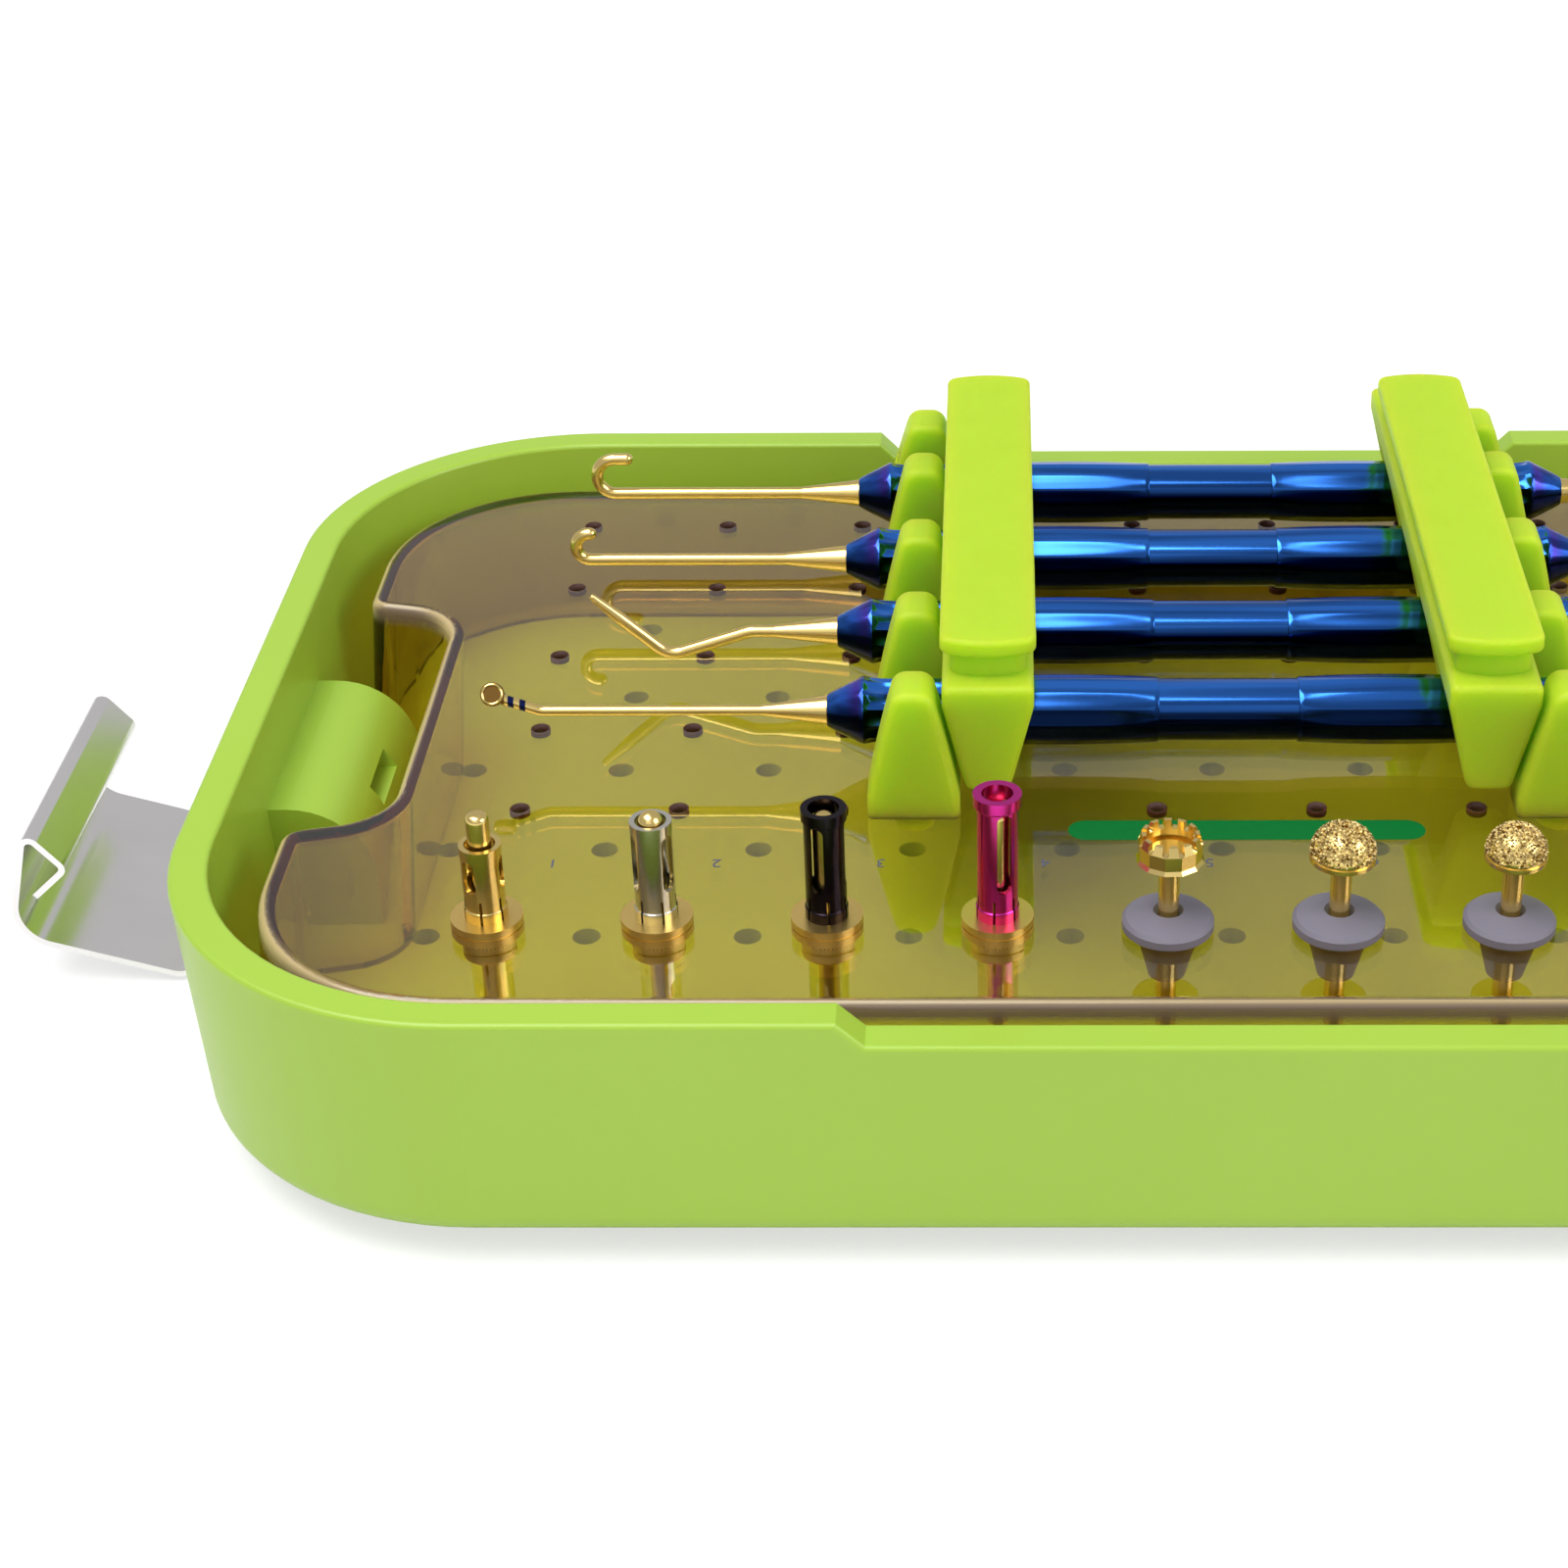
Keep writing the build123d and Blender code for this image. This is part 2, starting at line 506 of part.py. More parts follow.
def make_clamp_bar(side):
    """A toothed beam that closes over the handles, with a finger slab along its top.

    Its heel is rounded about the hinge pin and cut back beside the comb's rear finger, so that it can swing up.
    """
    foot_z = DECK_TOP + BAR_FOOT_HEIGHT
    shoulder_z = DECK_TOP + BAR_SHOULDER_HEIGHT
    half = BAR_WIDTH / 2
    half_foot = BAR_FOOT_WIDTH / 2
    front = FINGERS[0] - FINGER_THICKNESS / 2 + BAR_END_INSET
    rear = BAR_PIN_Y + FINGER_THICKNESS / 2
    section = make_face(Polyline((-half_foot, foot_z), (half_foot, foot_z), (half, shoulder_z),
                                 (half, BEAM_TOP_Z), (-half, BEAM_TOP_Z), (-half, shoulder_z), close=True))
    section = fillet(section.vertices().group_by(Axis.Y)[0], half_foot / 2)
    body = along_y(section, rear - front, (front + rear) / 2)
    top_sides = [edge for edge in body.edges().filter_by(Axis.Y) if edge.center().Z > BEAM_TOP_Z - TOUCH]
    body = fillet(body.edges().group_by(Axis.Y)[0] + top_sides, BAR_EDGE_R)
    for y in HANDLES:
        width = RACK_PITCH - FINGER_THICKNESS
        gap = Pos(0, y, SLOT_TOP_Z / 2) * Box(2 * BAR_WIDTH, width, SLOT_TOP_Z)
        body -= fillet(gap.edges().filter_by(Axis.X).group_by(Axis.Z)[-1], BAR_SLOT_R)
    heel = Pos(0, BAR_PIN_Y, BAR_PIN_Z) * Rot(0, 90, 0) * Cylinder(rear - BAR_PIN_Y, 2 * BAR_WIDTH)
    below_pin = Pos(0, BAR_PIN_Y, (foot_z + BAR_PIN_Z) / 2 - BAR_EDGE_R) * Box(
        2 * BAR_WIDTH, 2 * FINGER_THICKNESS, BAR_PIN_Z - foot_z + 2 * BAR_EDGE_R)
    body -= below_pin - heel
    relief_face = COMB_FROM_CENTRE - BAR_FROM_CENTRE - FINGER_BASE / 2 - BODY_GAP
    relief_at = Pos(side * (relief_face + BAR_WIDTH / 2), BAR_PIN_Y, BAR_PIN_Z)
    body -= relief_at * Rot(0, 90, 0) * Cylinder(HINGE_RELIEF_R, BAR_WIDTH)

    slab_front = front + SLAB_FRONT_INSET
    slab_rear = BAR_PIN_Y - SLAB_REAR_INSET
    neck_top = BEAM_TOP_Z + SLAB_NECK_HEIGHT
    body += slab(SLAB_NECK_WIDTH, slab_front + SLAB_OVERHANG, slab_rear - SLAB_OVERHANG,
                 BEAM_TOP_Z, SLAB_NECK_HEIGHT)
    cap = slab(SLAB_WIDTH, slab_front, slab_rear, neck_top, SLAB_THICKNESS)
    body += fillet(cap.edges().group_by(Axis.Z)[-1] + cap.edges().group_by(Axis.Z)[0], SLAB_EDGE_R)
    return Pos(INSERT_SHIFT + side * BAR_FROM_CENTRE, 0, 0) * body - bar_pin_bore(BAR_PIN_R + RUNNING_GAP)


def slab(width, front, rear, base, thickness):
    """A flat bar along Y with bowed ends and rounded corners."""
    half = width / 2
    outline = make_face([ThreePointArc((-half, front + SLAB_END_BOW), (0, front), (half, front + SLAB_END_BOW)),
                         Line((half, front + SLAB_END_BOW), (half, rear - SLAB_END_BOW)),
                         ThreePointArc((half, rear - SLAB_END_BOW), (0, rear), (-half, rear - SLAB_END_BOW)),
                         Line((-half, rear - SLAB_END_BOW), (-half, front + SLAB_END_BOW))])
    outline = fillet(outline.vertices(), SLAB_CORNER_R)
    return Pos(0, 0, base) * extrude(outline, amount=thickness)


# ---- Double-ended instruments ----
def make_handle(number):
    """A turned grip: cone shoulders, fluted waists, two bowed barrels and a plain middle."""
    half = HANDLE_LENGTH / 2
    waist_end = WAIST_AT + WAIST_LENGTH
    barrel_end = BARREL_AT + BARREL_LENGTH
    edge_r = BARREL_R - BARREL_BULGE
    barrel = ThreePointArc((half - BARREL_AT, edge_r), (half - (BARREL_AT + barrel_end) / 2, BARREL_R),
                           (half - barrel_end, edge_r))
    outline = [Line((0, 0), (half, 0)), Line((half, 0), (half, NECK_R)),
               Line((half, NECK_R), (half - SHOULDER_AT, SHOULDER_R)),
               Line((half - SHOULDER_AT, SHOULDER_R), (half - WAIST_AT, WAIST_R)),
               Line((half - WAIST_AT, WAIST_R), (half - waist_end, WAIST_R)),
               Line((half - waist_end, WAIST_R), (half - BARREL_AT, edge_r)), barrel,
               Line((half - barrel_end, edge_r), (half - barrel_end, LABEL_R)),
               Line((half - barrel_end, LABEL_R), (0, LABEL_R)), Line((0, LABEL_R), (0, 0))]
    side = revolve(make_face(outline), Axis.X)
    flute = Cylinder(FLUTE_R, FLUTE_LENGTH) + Pos(0, 0, FLUTE_LENGTH / 2) * Sphere(FLUTE_R)
    flute += Pos(0, 0, -FLUTE_LENGTH / 2) * Sphere(FLUTE_R)
    middle = half - WAIST_AT - WAIST_LENGTH / 2
    out = WAIST_R + FLUTE_R - FLUTE_DEPTH
    for i in range(FLUTE_COUNT):
        side -= Rot(i * 360 / FLUTE_COUNT, 0, 0) * Pos(middle, out, 0) * Rot(0, 90, 0) * flute
    handle = side + mirror(side, about=Plane.YZ)
    return Pos(HANDLE_SHIFTS[number], HANDLES[number], AXIS_Z) * handle


def rod(points, bends, radius):
    """A round bar along straight runs and arcs in the (x, z) plane."""
    path = Plane.XZ * FilletPolyline(*points, radius=bends)
    profile = Plane(path @ 0, z_dir=path % 0) * Circle(radius)
    return sweep(profile, path=path)


def tapered(start, end, radius_start, radius_end):
    """A straight cone between two (x, z) points."""
    length = hypot(end[0] - start[0], end[1] - start[1])
    plane = Plane((start[0], 0, start[1]), z_dir=(end[0] - start[0], 0, end[1] - start[1]))
    return plane * Cone(radius_start, radius_end, length, align=(Align.CENTER, Align.CENTER, Align.MIN))


def make_shank(rod_r):
    """The root of a working tip, seated on the handle's end and drawn down to its rod."""
    return tapered((0, 0), (SHANK_LENGTH, 0), NECK_R, rod_r)


def make_disc_tip():
    """A slim rod bent up a little, with a small tilted disc at its end."""
    end = (DISC_REACH + DISC_RISE_RUN, DISC_RISE)
    bar = rod([(SHANK_LENGTH, 0), (DISC_REACH, 0), end], DISC_BEND_R, DISC_ROD_R)
    facing = (0, -cos(radians(DISC_TILT)), sin(radians(DISC_TILT)))
    disc = Plane((end[0] + DISC_R - DISC_ROD_R / 2, 0, end[1] + DISC_ROD_R), z_dir=facing)
    return make_shank(DISC_ROD_R) + bar + disc * Cylinder(DISC_R, DISC_THICKNESS)


def make_curette_tip():
    """A rod dipped into a shallow valley and raised to a slender end."""
    points = [(SHANK_LENGTH, 0), (CURETTE_FALL_AT, 0), CURETTE_VALLEY, CURETTE_NARROW]
    bar = rod(points, CURETTE_BEND_R, CURETTE_ROD_R)
    run = CURETTE_NARROW[0] - CURETTE_VALLEY[0]
    rise = CURETTE_NARROW[1] - CURETTE_VALLEY[1]
    stretch = CURETTE_POINT_LENGTH / hypot(run, rise)
    end = (CURETTE_NARROW[0] + run * stretch, CURETTE_NARROW[1] + rise * stretch)
    point = tapered(CURETTE_NARROW, end, CURETTE_ROD_R, CURETTE_POINT_R)
    point = fillet(point.edges().sort_by_distance((end[0], 0, end[1]))[0], POINT_EDGE_R)
    return make_shank(CURETTE_ROD_R) + bar + point


def make_hook_tip(reach, hook_r, back):
    """A straight rod turned up and back over itself, with a short straight top to its turn."""
    corner = reach + hook_r
    height = 2 * hook_r + HOOK_FLAT
    points = [(SHANK_LENGTH, 0), (corner, 0), (corner, height), (reach - back, height)]
    bar = rod(points, hook_r, HOOK_ROD_R)
    cap = Pos(points[-1][0], 0, points[-1][1]) * Sphere(HOOK_ROD_R)
    return make_shank(HOOK_ROD_R) + bar + cap


def make_tips():
    """Every working tip by name, each set on its handle's end."""
    shapes = {"disc": make_disc_tip(), "curette": make_curette_tip(),
              "small_hook": make_hook_tip(*SMALL_HOOK), "large_hook": make_hook_tip(*LARGE_HOOK)}
    tips = {}
    for number in range(HANDLE_COUNT):
        end = HANDLE_LENGTH / 2
        middle = HANDLE_SHIFTS[number]
        left_tip = mirrored(shapes[LEFT_TIPS[number]])
        right_tip = shapes[RIGHT_TIPS[number]]
        tips[f"tip_{number + 1}_left"] = Pos(middle - end, HANDLES[number], AXIS_Z) * left_tip
        tips[f"tip_{number + 1}_right"] = Pos(middle + end, HANDLES[number], AXIS_Z) * right_tip
    return tips


# ---- Front row ----
def make_guide():
    """A turned metal bush with two bands, a spigot in the deck and a socket for a sleeve."""
    bore = BUR_SHANK_R + SHANK_GAP
    socket = SLEEVE_R + SHANK_GAP
    floor = GUIDE_HEIGHT - GUIDE_SOCKET_DEPTH
    waist = GUIDE_R - GUIDE_GROOVE
    low = (GUIDE_HEIGHT - GUIDE_GROOVE) / 2
    high = low + GUIDE_GROOVE
    return turned((bore, -GUIDE_SPIGOT_LENGTH), (GUIDE_SPIGOT_R, -GUIDE_SPIGOT_LENGTH), (GUIDE_SPIGOT_R, 0),
                  (GUIDE_R, 0), (GUIDE_R, low), (waist, low), (waist, high), (GUIDE_R, high),
                  (GUIDE_R, GUIDE_HEIGHT), (socket, GUIDE_HEIGHT), (socket, floor), (bore, floor))


def make_sleeve(top, collar):
    """A slit and windowed stop sleeve that stands in a guide round its drill."""
    floor = GUIDE_HEIGHT - GUIDE_SOCKET_DEPTH
    band_top = GUIDE_HEIGHT + BAND_HEIGHT
    rim = SLEEVE_R + collar
    neck = top - COLLAR_HEIGHT
    outside = [(SLEEVE_R, floor), (SLEEVE_R, GUIDE_HEIGHT), (SLEEVE_BAND_R, GUIDE_HEIGHT),
               (SLEEVE_BAND_R, band_top), (SLEEVE_R, band_top + SLEEVE_BAND_R - SLEEVE_R),
               (SLEEVE_R, neck - collar), (rim, neck), (rim, top)]
    inside = [(SLEEVE_BORE_R, top), (SLEEVE_BORE_R, GUIDE_HEIGHT), (BUR_SHANK_R, GUIDE_HEIGHT),
              (BUR_SHANK_R, floor)]
    sleeve = turned(*outside, *inside)
    slit_top = GUIDE_HEIGHT + SLIT_HEIGHT
    for i in range(SLIT_COUNT):
        slit = Pos(SLEEVE_R, 0, GUIDE_HEIGHT + SLIT_HEIGHT / 2) * Box(SLEEVE_R, SLIT_WIDTH, SLIT_HEIGHT)
        sleeve -= Rot(0, 0, FIRST_WINDOW + (i + 0.5) * 360 / SLIT_COUNT) * slit
    low = slit_top + WINDOW_BASE + WINDOW_WIDTH / 2
    high = neck - collar - WINDOW_WIDTH / 2
    for i in range(WINDOW_COUNT):
        window = Pos(SLEEVE_R, 0, (low + high) / 2) * Box(2 * SLEEVE_R, WINDOW_WIDTH, high - low)
        for end in (low, high):
            window += Pos(SLEEVE_R, 0, end) * Rot(0, 90, 0) * Cylinder(WINDOW_WIDTH / 2, 2 * SLEEVE_R)
        sleeve -= Rot(0, 0, FIRST_WINDOW + i * 360 / WINDOW_COUNT) * window
    return sleeve


def make_drill(top, rounded):
    """A drill: a shank through the guide and a thicker head, domed or ball ended."""
    step = GUIDE_HEIGHT + SLIT_HEIGHT
    drill = Pos(0, 0, (step - DRILL_REACH) / 2) * Cylinder(BUR_SHANK_R, step + DRILL_REACH)
    if rounded:
        neck = top - DRILL_BALL_R
        stem = Pos(0, 0, (step + neck) / 2) * Cylinder(BUR_SHANK_R, neck - step)
        return drill + stem + Pos(0, 0, neck) * Sphere(DRILL_BALL_R)
    head = Pos(0, 0, (step + top) / 2) * Cylinder(DRILL_R, top - step)
    return drill + fillet(head.edges().group_by(Axis.Z)[-1], DRILL_EDGE_R)


def make_grommet():
    """A soft grommet: a shallow domed flange, a neck in the deck and a tapered barb below."""
    bore = BUR_SHANK_R + SHANK_GAP
    barb = -DECK_THICKNESS
    tip = barb - GROMMET_BARB_LENGTH
    edge = GROMMET_R - GROMMET_EDGE
    return turned((bore, tip), (GROMMET_TIP_R, tip), (GROMMET_BARB_R, barb), (GROMMET_NECK_R, barb),
                  (GROMMET_NECK_R, 0), (edge, 0), (GROMMET_R, GROMMET_EDGE), (GROMMET_R, GROMMET_RIM),
                  (edge, GROMMET_RIM + GROMMET_EDGE), (GROMMET_MOUTH_R, GROMMET_HEIGHT),
                  (bore, GROMMET_HEIGHT - GROMMET_MOUTH_DEPTH))


def make_bur_shank(top):
    shank = Pos(0, 0, (top - BUR_REACH) / 2) * Cylinder(BUR_SHANK_R, top + BUR_REACH)
    return fillet(shank.edges().group_by(Axis.Z)[0], BUR_SHANK_R / 3)


def make_crown_bur(radius, height):
    """A trephine crown: a faceted cup on a flared foot, with a disc inside and a ring of petal teeth."""
    tip = BUR_HEAD_AT + height
    ridge = tip - CROWN_TOOTH_DEPTH
    levels = ((BUR_HEAD_AT, radius), (BUR_HEAD_AT + CROWN_FOOT_HEIGHT, radius - CROWN_FLARE),
              (ridge, radius - CROWN_RIDGE_INSET), (tip, radius - CROWN_TIP_INSET))
    rings = [Pos(0, 0, z) * RegularPolygon(r, CROWN_TEETH, rotation=180 / CROWN_TEETH) for z, r in levels]
    cup = loft(rings, ruled=True)
    inner_r = (radius - CROWN_TIP_INSET) * cos(pi / CROWN_TEETH) - CROWN_WALL
    cup -= Pos(0, 0, BUR_HEAD_AT + CROWN_FLOOR + height) * Cylinder(inner_r, 2 * height)
    disc_r = radius * CROWN_DISC_SHARE
    cup += Pos(0, 0, BUR_HEAD_AT + CROWN_DISC_HEIGHT / 2) * Cylinder(disc_r, CROWN_DISC_HEIGHT)
    low = ridge + CROWN_NOTCH / 2
    notch = Pos(radius, 0, low) * Rot(0, 90, 0) * Cylinder(CROWN_NOTCH / 2, radius)
    notch += Pos(radius, 0, low + height / 2) * Box(radius, CROWN_NOTCH, height)
    for i in range(CROWN_TEETH):
        cup -= Rot(0, 0, (i + 0.5) * 360 / CROWN_TEETH) * notch
    return make_bur_shank(BUR_HEAD_AT) + Rot(0, 0, CROWN_TURN) * cup


def make_dome_bur(radius, height):
    """A domed abrasive head on a plain lip, with a small hole at its top."""
    lip_top = BUR_HEAD_AT + DOME_LIP
    top = BUR_HEAD_AT + height
    inner = radius - DOME_STEP
    swell = DOME_SWELL * (top - lip_top)
    crown_at = (inner * cos(radians(DOME_CROWN)), lip_top + (top - lip_top) * sin(radians(DOME_CROWN)) + swell)
    rim = Polyline((0, top), (0, BUR_HEAD_AT), (radius, BUR_HEAD_AT), (radius, lip_top), (inner, lip_top))
    dome = make_face([rim, ThreePointArc((inner, lip_top), crown_at, (0, top))])
    head = revolve(Plane.XZ * dome, Axis.Z)
    head -= Pos(0, 0, top) * Cylinder(DOME_HOLE_R, 2 * DOME_HOLE_DEPTH)
    return make_bur_shank(BUR_HEAD_AT) + head


# ---- Every piece in its place ----
save(make_tray(), "tray")
save(make_feet(), "tray_feet")
pin = make_latch_pin()
save(pin, "left_latch_pin")
save(mirrored(pin), "right_latch_pin")
latch = make_latch()
save(latch, "left_latch")
save(mirrored(latch), "right_latch")
save(make_insert(), "insert_plate")

for name, side in (("left", -1), ("right", 1)):
    save(make_comb(INSERT_SHIFT + side * COMB_FROM_CENTRE), f"{name}_comb")
    save(make_bar_pin(side), f"{name}_bar_pin")
    save(make_clamp_bar(side), f"{name}_clamp_bar")

for number in range(HANDLE_COUNT):
    save(make_handle(number), f"handle_{number + 1}")
for name, tip in make_tips().items():
    save(tip, name)

for place, x in enumerate(COLUMNS):
    at = Pos(x, HOLDER_ROW_Y, DECK_TOP)
    number = place + 1
    if place < GUIDE_COUNT:
        save(at * make_guide(), f"guide_{number}")
        sleeve = make_sleeve(SLEEVE_TOPS[place], SLEEVE_COLLARS[place])
        save(at * Rot(0, 0, SLEEVE_TURNS[place]) * sleeve, f"sleeve_{number}")
        save(at * make_drill(DRILL_TOPS[place], number == 2), f"drill_{number}")
    else:
        save(at * make_grommet(), f"grommet_{number}")
        if number in CROWN_HEADS:
            save(at * make_crown_bur(*CROWN_HEADS[number]), f"bur_{number}")
        else:
            save(at * make_dome_bur(*DOME_HEADS[number]), f"bur_{number}")
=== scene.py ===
from math import cos, pi, radians, sin

import bmesh
import bpy
from mathutils import Matrix, Vector


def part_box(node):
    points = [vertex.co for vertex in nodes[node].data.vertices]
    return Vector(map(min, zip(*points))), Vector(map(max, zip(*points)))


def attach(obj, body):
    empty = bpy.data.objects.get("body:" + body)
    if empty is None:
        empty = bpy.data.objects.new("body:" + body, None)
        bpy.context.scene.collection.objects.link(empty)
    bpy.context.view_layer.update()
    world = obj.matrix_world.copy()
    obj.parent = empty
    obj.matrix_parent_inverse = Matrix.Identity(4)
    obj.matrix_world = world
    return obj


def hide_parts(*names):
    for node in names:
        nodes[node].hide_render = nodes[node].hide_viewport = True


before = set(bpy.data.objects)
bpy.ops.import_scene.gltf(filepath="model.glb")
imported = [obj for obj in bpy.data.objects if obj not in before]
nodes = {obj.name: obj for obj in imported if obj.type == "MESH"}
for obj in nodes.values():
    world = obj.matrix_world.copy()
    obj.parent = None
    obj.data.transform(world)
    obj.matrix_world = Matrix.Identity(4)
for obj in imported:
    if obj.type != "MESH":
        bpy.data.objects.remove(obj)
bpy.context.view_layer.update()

# ---- Studio ----
# A plain room with a pale floor, which is white to the camera. Soft lamps above, at the right and
# in front light the cassette at a level that keeps its colours.
ROOM_LIGHT = 0.50

# Levels that mirrors would see overhead and behind the camera. They have no effect as it stands,
# because the world shows its lit shader to every ray: see plain_surround.
CEILING = 0.46
CEILING_FROM, CEILING_TO = 0.46, 0.56
BEHIND = 0.26
BEHIND_FROM, BEHIND_TO = -0.5, 0.1

# outputs of Blender's Light Path and Texture Coordinate nodes
CAMERA_RAY, SHADOW_RAY, GLOSSY_RAY, TRANSMISSION_RAY, RAY_DEPTH = 0, 1, 3, 6, 9
DIRECTION, NORMAL, OBJECT = 0, 1, 3


class Reading:
    """A socket of a node tree. Arithmetic on it adds the Math nodes that work it out."""

    def __init__(self, finish, socket):
        self.finish = finish
        self.socket = socket

    def math(self, operation, first, second):
        return self.finish.math(operation, first, second)

    def __add__(self, other):
        return self.math("ADD", self, other)

    def __radd__(self, other):
        return self.math("ADD", other, self)

    def __sub__(self, other):
        return self.math("SUBTRACT", self, other)

    def __rsub__(self, other):
        return self.math("SUBTRACT", other, self)

    def __mul__(self, other):
        return self.math("MULTIPLY", self, other)

    def __lt__(self, other):
        return self.math("LESS_THAN", self, other)

    def __gt__(self, other):
        return self.math("GREATER_THAN", self, other)


class Finish:
    """The node tree of a material or of the world, written one node at a time."""

    def __init__(self, owner):
        owner.use_nodes = True
        self.owner = owner
        self.tree = owner.node_tree
        self.tree.nodes.clear()

    def node(self, kind, settings=None, values=None):
        made = self.tree.nodes.new(kind)
        for name, setting in (settings or {}).items():
            if name == "stops":
                ramp = made.color_ramp.elements
                while len(ramp) < len(setting):
                    ramp.new(1.0)
                for stop, (place, shade) in zip(ramp, setting):
                    stop.position = place
                    stop.color = shade
            else:
                setattr(made, name, setting)
        for name, value in (values or {}).items():
            if isinstance(value, Reading):
                self.tree.links.new(value.socket, made.inputs[name])
            else:
                made.inputs[name].default_value = value
        return {i: Reading(self, made.outputs[i]) for i in range(len(made.outputs))}

    def math(self, operation, first, second):
        return self.node("ShaderNodeMath", {"operation": operation}, {0: first, 1: second})[0]

    def absolute(self, value):
        return self.node("ShaderNodeMath", {"operation": "ABSOLUTE"}, {0: value})[0]

    def mix(self, share, first, second):
        """A colour between two colours."""
        return self.node("ShaderNodeMix", {"data_type": "RGBA"}, {0: share, 6: first, 7: second})[2]

    def ramp(self, value, start, end, low, high, interpolation="SMOOTHSTEP"):
        """A value carried from one range into another, and held at both ends."""
        return self.node("ShaderNodeMapRange", {"interpolation_type": interpolation}, {
            "Value": value, "From Min": start, "From Max": end, "To Min": low, "To Max": high})[0]

    def axes(self, coordinate):
        """The x, y and z of one of the piece's coordinates."""
        return self.node("ShaderNodeSeparateXYZ", None, {0: self.node("ShaderNodeTexCoord")[coordinate]})

    def mottle(self, scale, detail=3.0, stretch=(1.0, 1.0, 1.0)):
        """Soft noise from 0 to 1 over the piece's own coordinates, in metres."""
        place = self.node("ShaderNodeTexCoord")[OBJECT]
        place = self.node("ShaderNodeMapping", None, {"Vector": place, "Scale": stretch})[0]
        return self.node("ShaderNodeTexNoise", None,
                         {"Vector": place, "Scale": scale, "Detail": detail})[0]

    def bump(self, height, strength, distance):
        return self.node("ShaderNodeBump", None,
                         {"Height": height, "Strength": strength, "Distance": distance})[0]

    def surface(self, values):
        """Ends the tree in one plain surface, and gives the finished material."""
        skin = self.node("ShaderNodeBsdfPrincipled", None, values)[0]
        self.node("ShaderNodeOutputMaterial", None, {"Surface": skin})
        return self.owner


def shade(red, green, blue, alpha=1.0):
    """A colour as a screen shows it, 0 to 255, turned into the light it stands for."""
    levels = [value / 255 for value in (red, green, blue)]
    return tuple(v / 12.92 if v <= 0.04045 else ((v + 0.055) / 1.055) ** 2.4 for v in levels) + (alpha,)


def plain_surround(finish, lit, seen):
    """Shows one shader to rays that come straight from the camera, and another to all others.

    The ray depth is 1 or more for mirrors and glass, and for the world also to the camera. So
    the floor is white to the camera alone, and the world shows its lit shader everywhere.
    """
    rays = finish.node("ShaderNodeLightPath")
    bounced = finish.math("MAXIMUM", rays[GLOSSY_RAY], rays[TRANSMISSION_RAY])
    direct = finish.math("MAXIMUM", rays[CAMERA_RAY], bounced)
    return finish.node("ShaderNodeMixShader", None, {
        0: direct * (rays[RAY_DEPTH] < 0.5), 1: lit, 2: seen})[0]


world = bpy.data.worlds.new("studio")
bpy.context.scene.world = world
sky = Finish(world)
WHITE = (1.0, 1.0, 1.0, 1.0)
lit = sky.node("ShaderNodeBackground", None, {"Color": WHITE, "Strength": ROOM_LIGHT})[0]
heading = sky.axes(DIRECTION)
wall_top = sky.ramp(heading[2], CEILING_FROM, CEILING_TO, 1.0, CEILING)
behind = sky.ramp(heading[1], BEHIND_FROM, BEHIND_TO, BEHIND, 1.0)
mirrored = sky.node("ShaderNodeLightPath")[GLOSSY_RAY]
level = 1.0 - mirrored * (1.0 - sky.math("MINIMUM", wall_top, behind))
seen = sky.node("ShaderNodeBackground", None, {"Color": WHITE, "Strength": level})[0]
sky.node("ShaderNodeOutputWorld", None, {"Surface": plain_surround(sky, lit, seen)})

FLOOR_HALF = 3.0
PAPER = (0.82, 0.82, 0.82, 1.0)
PAPER_SEEN = (0.42, 0.42, 0.42, 1.0)
PAPER_GLOW = 0.62
floor_mesh = bpy.data.meshes.new("floor")
floor_mesh.from_pydata([(-FLOOR_HALF, -FLOOR_HALF, 0), (FLOOR_HALF, -FLOOR_HALF, 0),
                        (FLOOR_HALF, FLOOR_HALF, 0), (-FLOOR_HALF, FLOOR_HALF, 0)], [], [(0, 1, 2, 3)])
floor = bpy.data.objects.new("floor", floor_mesh)
bpy.context.scene.collection.objects.link(floor)
paper = Finish(bpy.data.materials.new("floor_paper"))
matt = paper.node("ShaderNodeBsdfDiffuse", None, {"Color": PAPER})[0]
glow = paper.node("ShaderNodeEmission", None, {"Color": WHITE, "Strength": PAPER_GLOW})[0]
white = paper.node("ShaderNodeBsdfDiffuse", None, {"Color": PAPER_SEEN})[0]
white = paper.node("ShaderNodeAddShader", None, {0: glow, 1: white})[0]
paper.node("ShaderNodeOutputMaterial", None, {"Surface": plain_surround(paper, matt, white)})
floor_mesh.materials.append(paper.owner)


def softbox(name, place, target, size, watts):
    """A rectangular area lamp at a place, facing a target."""
    lamp = bpy.data.lights.new(name, "AREA")
    lamp.shape = "RECTANGLE"
    lamp.size, lamp.size_y = size
    lamp.energy = watts
    box = bpy.data.objects.new(name, lamp)
    bpy.context.scene.collection.objects.link(box)
    aim = Vector(target) - Vector(place)
    box.matrix_world = Matrix.Translation(place) @ aim.to_track_quat("-Z", "Y").to_matrix().to_4x4()


softbox("key_lamp", (-0.35, -0.20, 0.93), (0.0, 0.0, 0.0), (0.9, 0.6), 9.0)
softbox("fill_lamp", (0.80, -0.35, 0.55), (0.0, 0.0, 0.0), (0.6, 0.6), 4.5)
softbox("front_lamp", (-0.20, -0.85, 0.60), (0.0, 0.0, 0.02), (0.8, 0.5), 0.7)

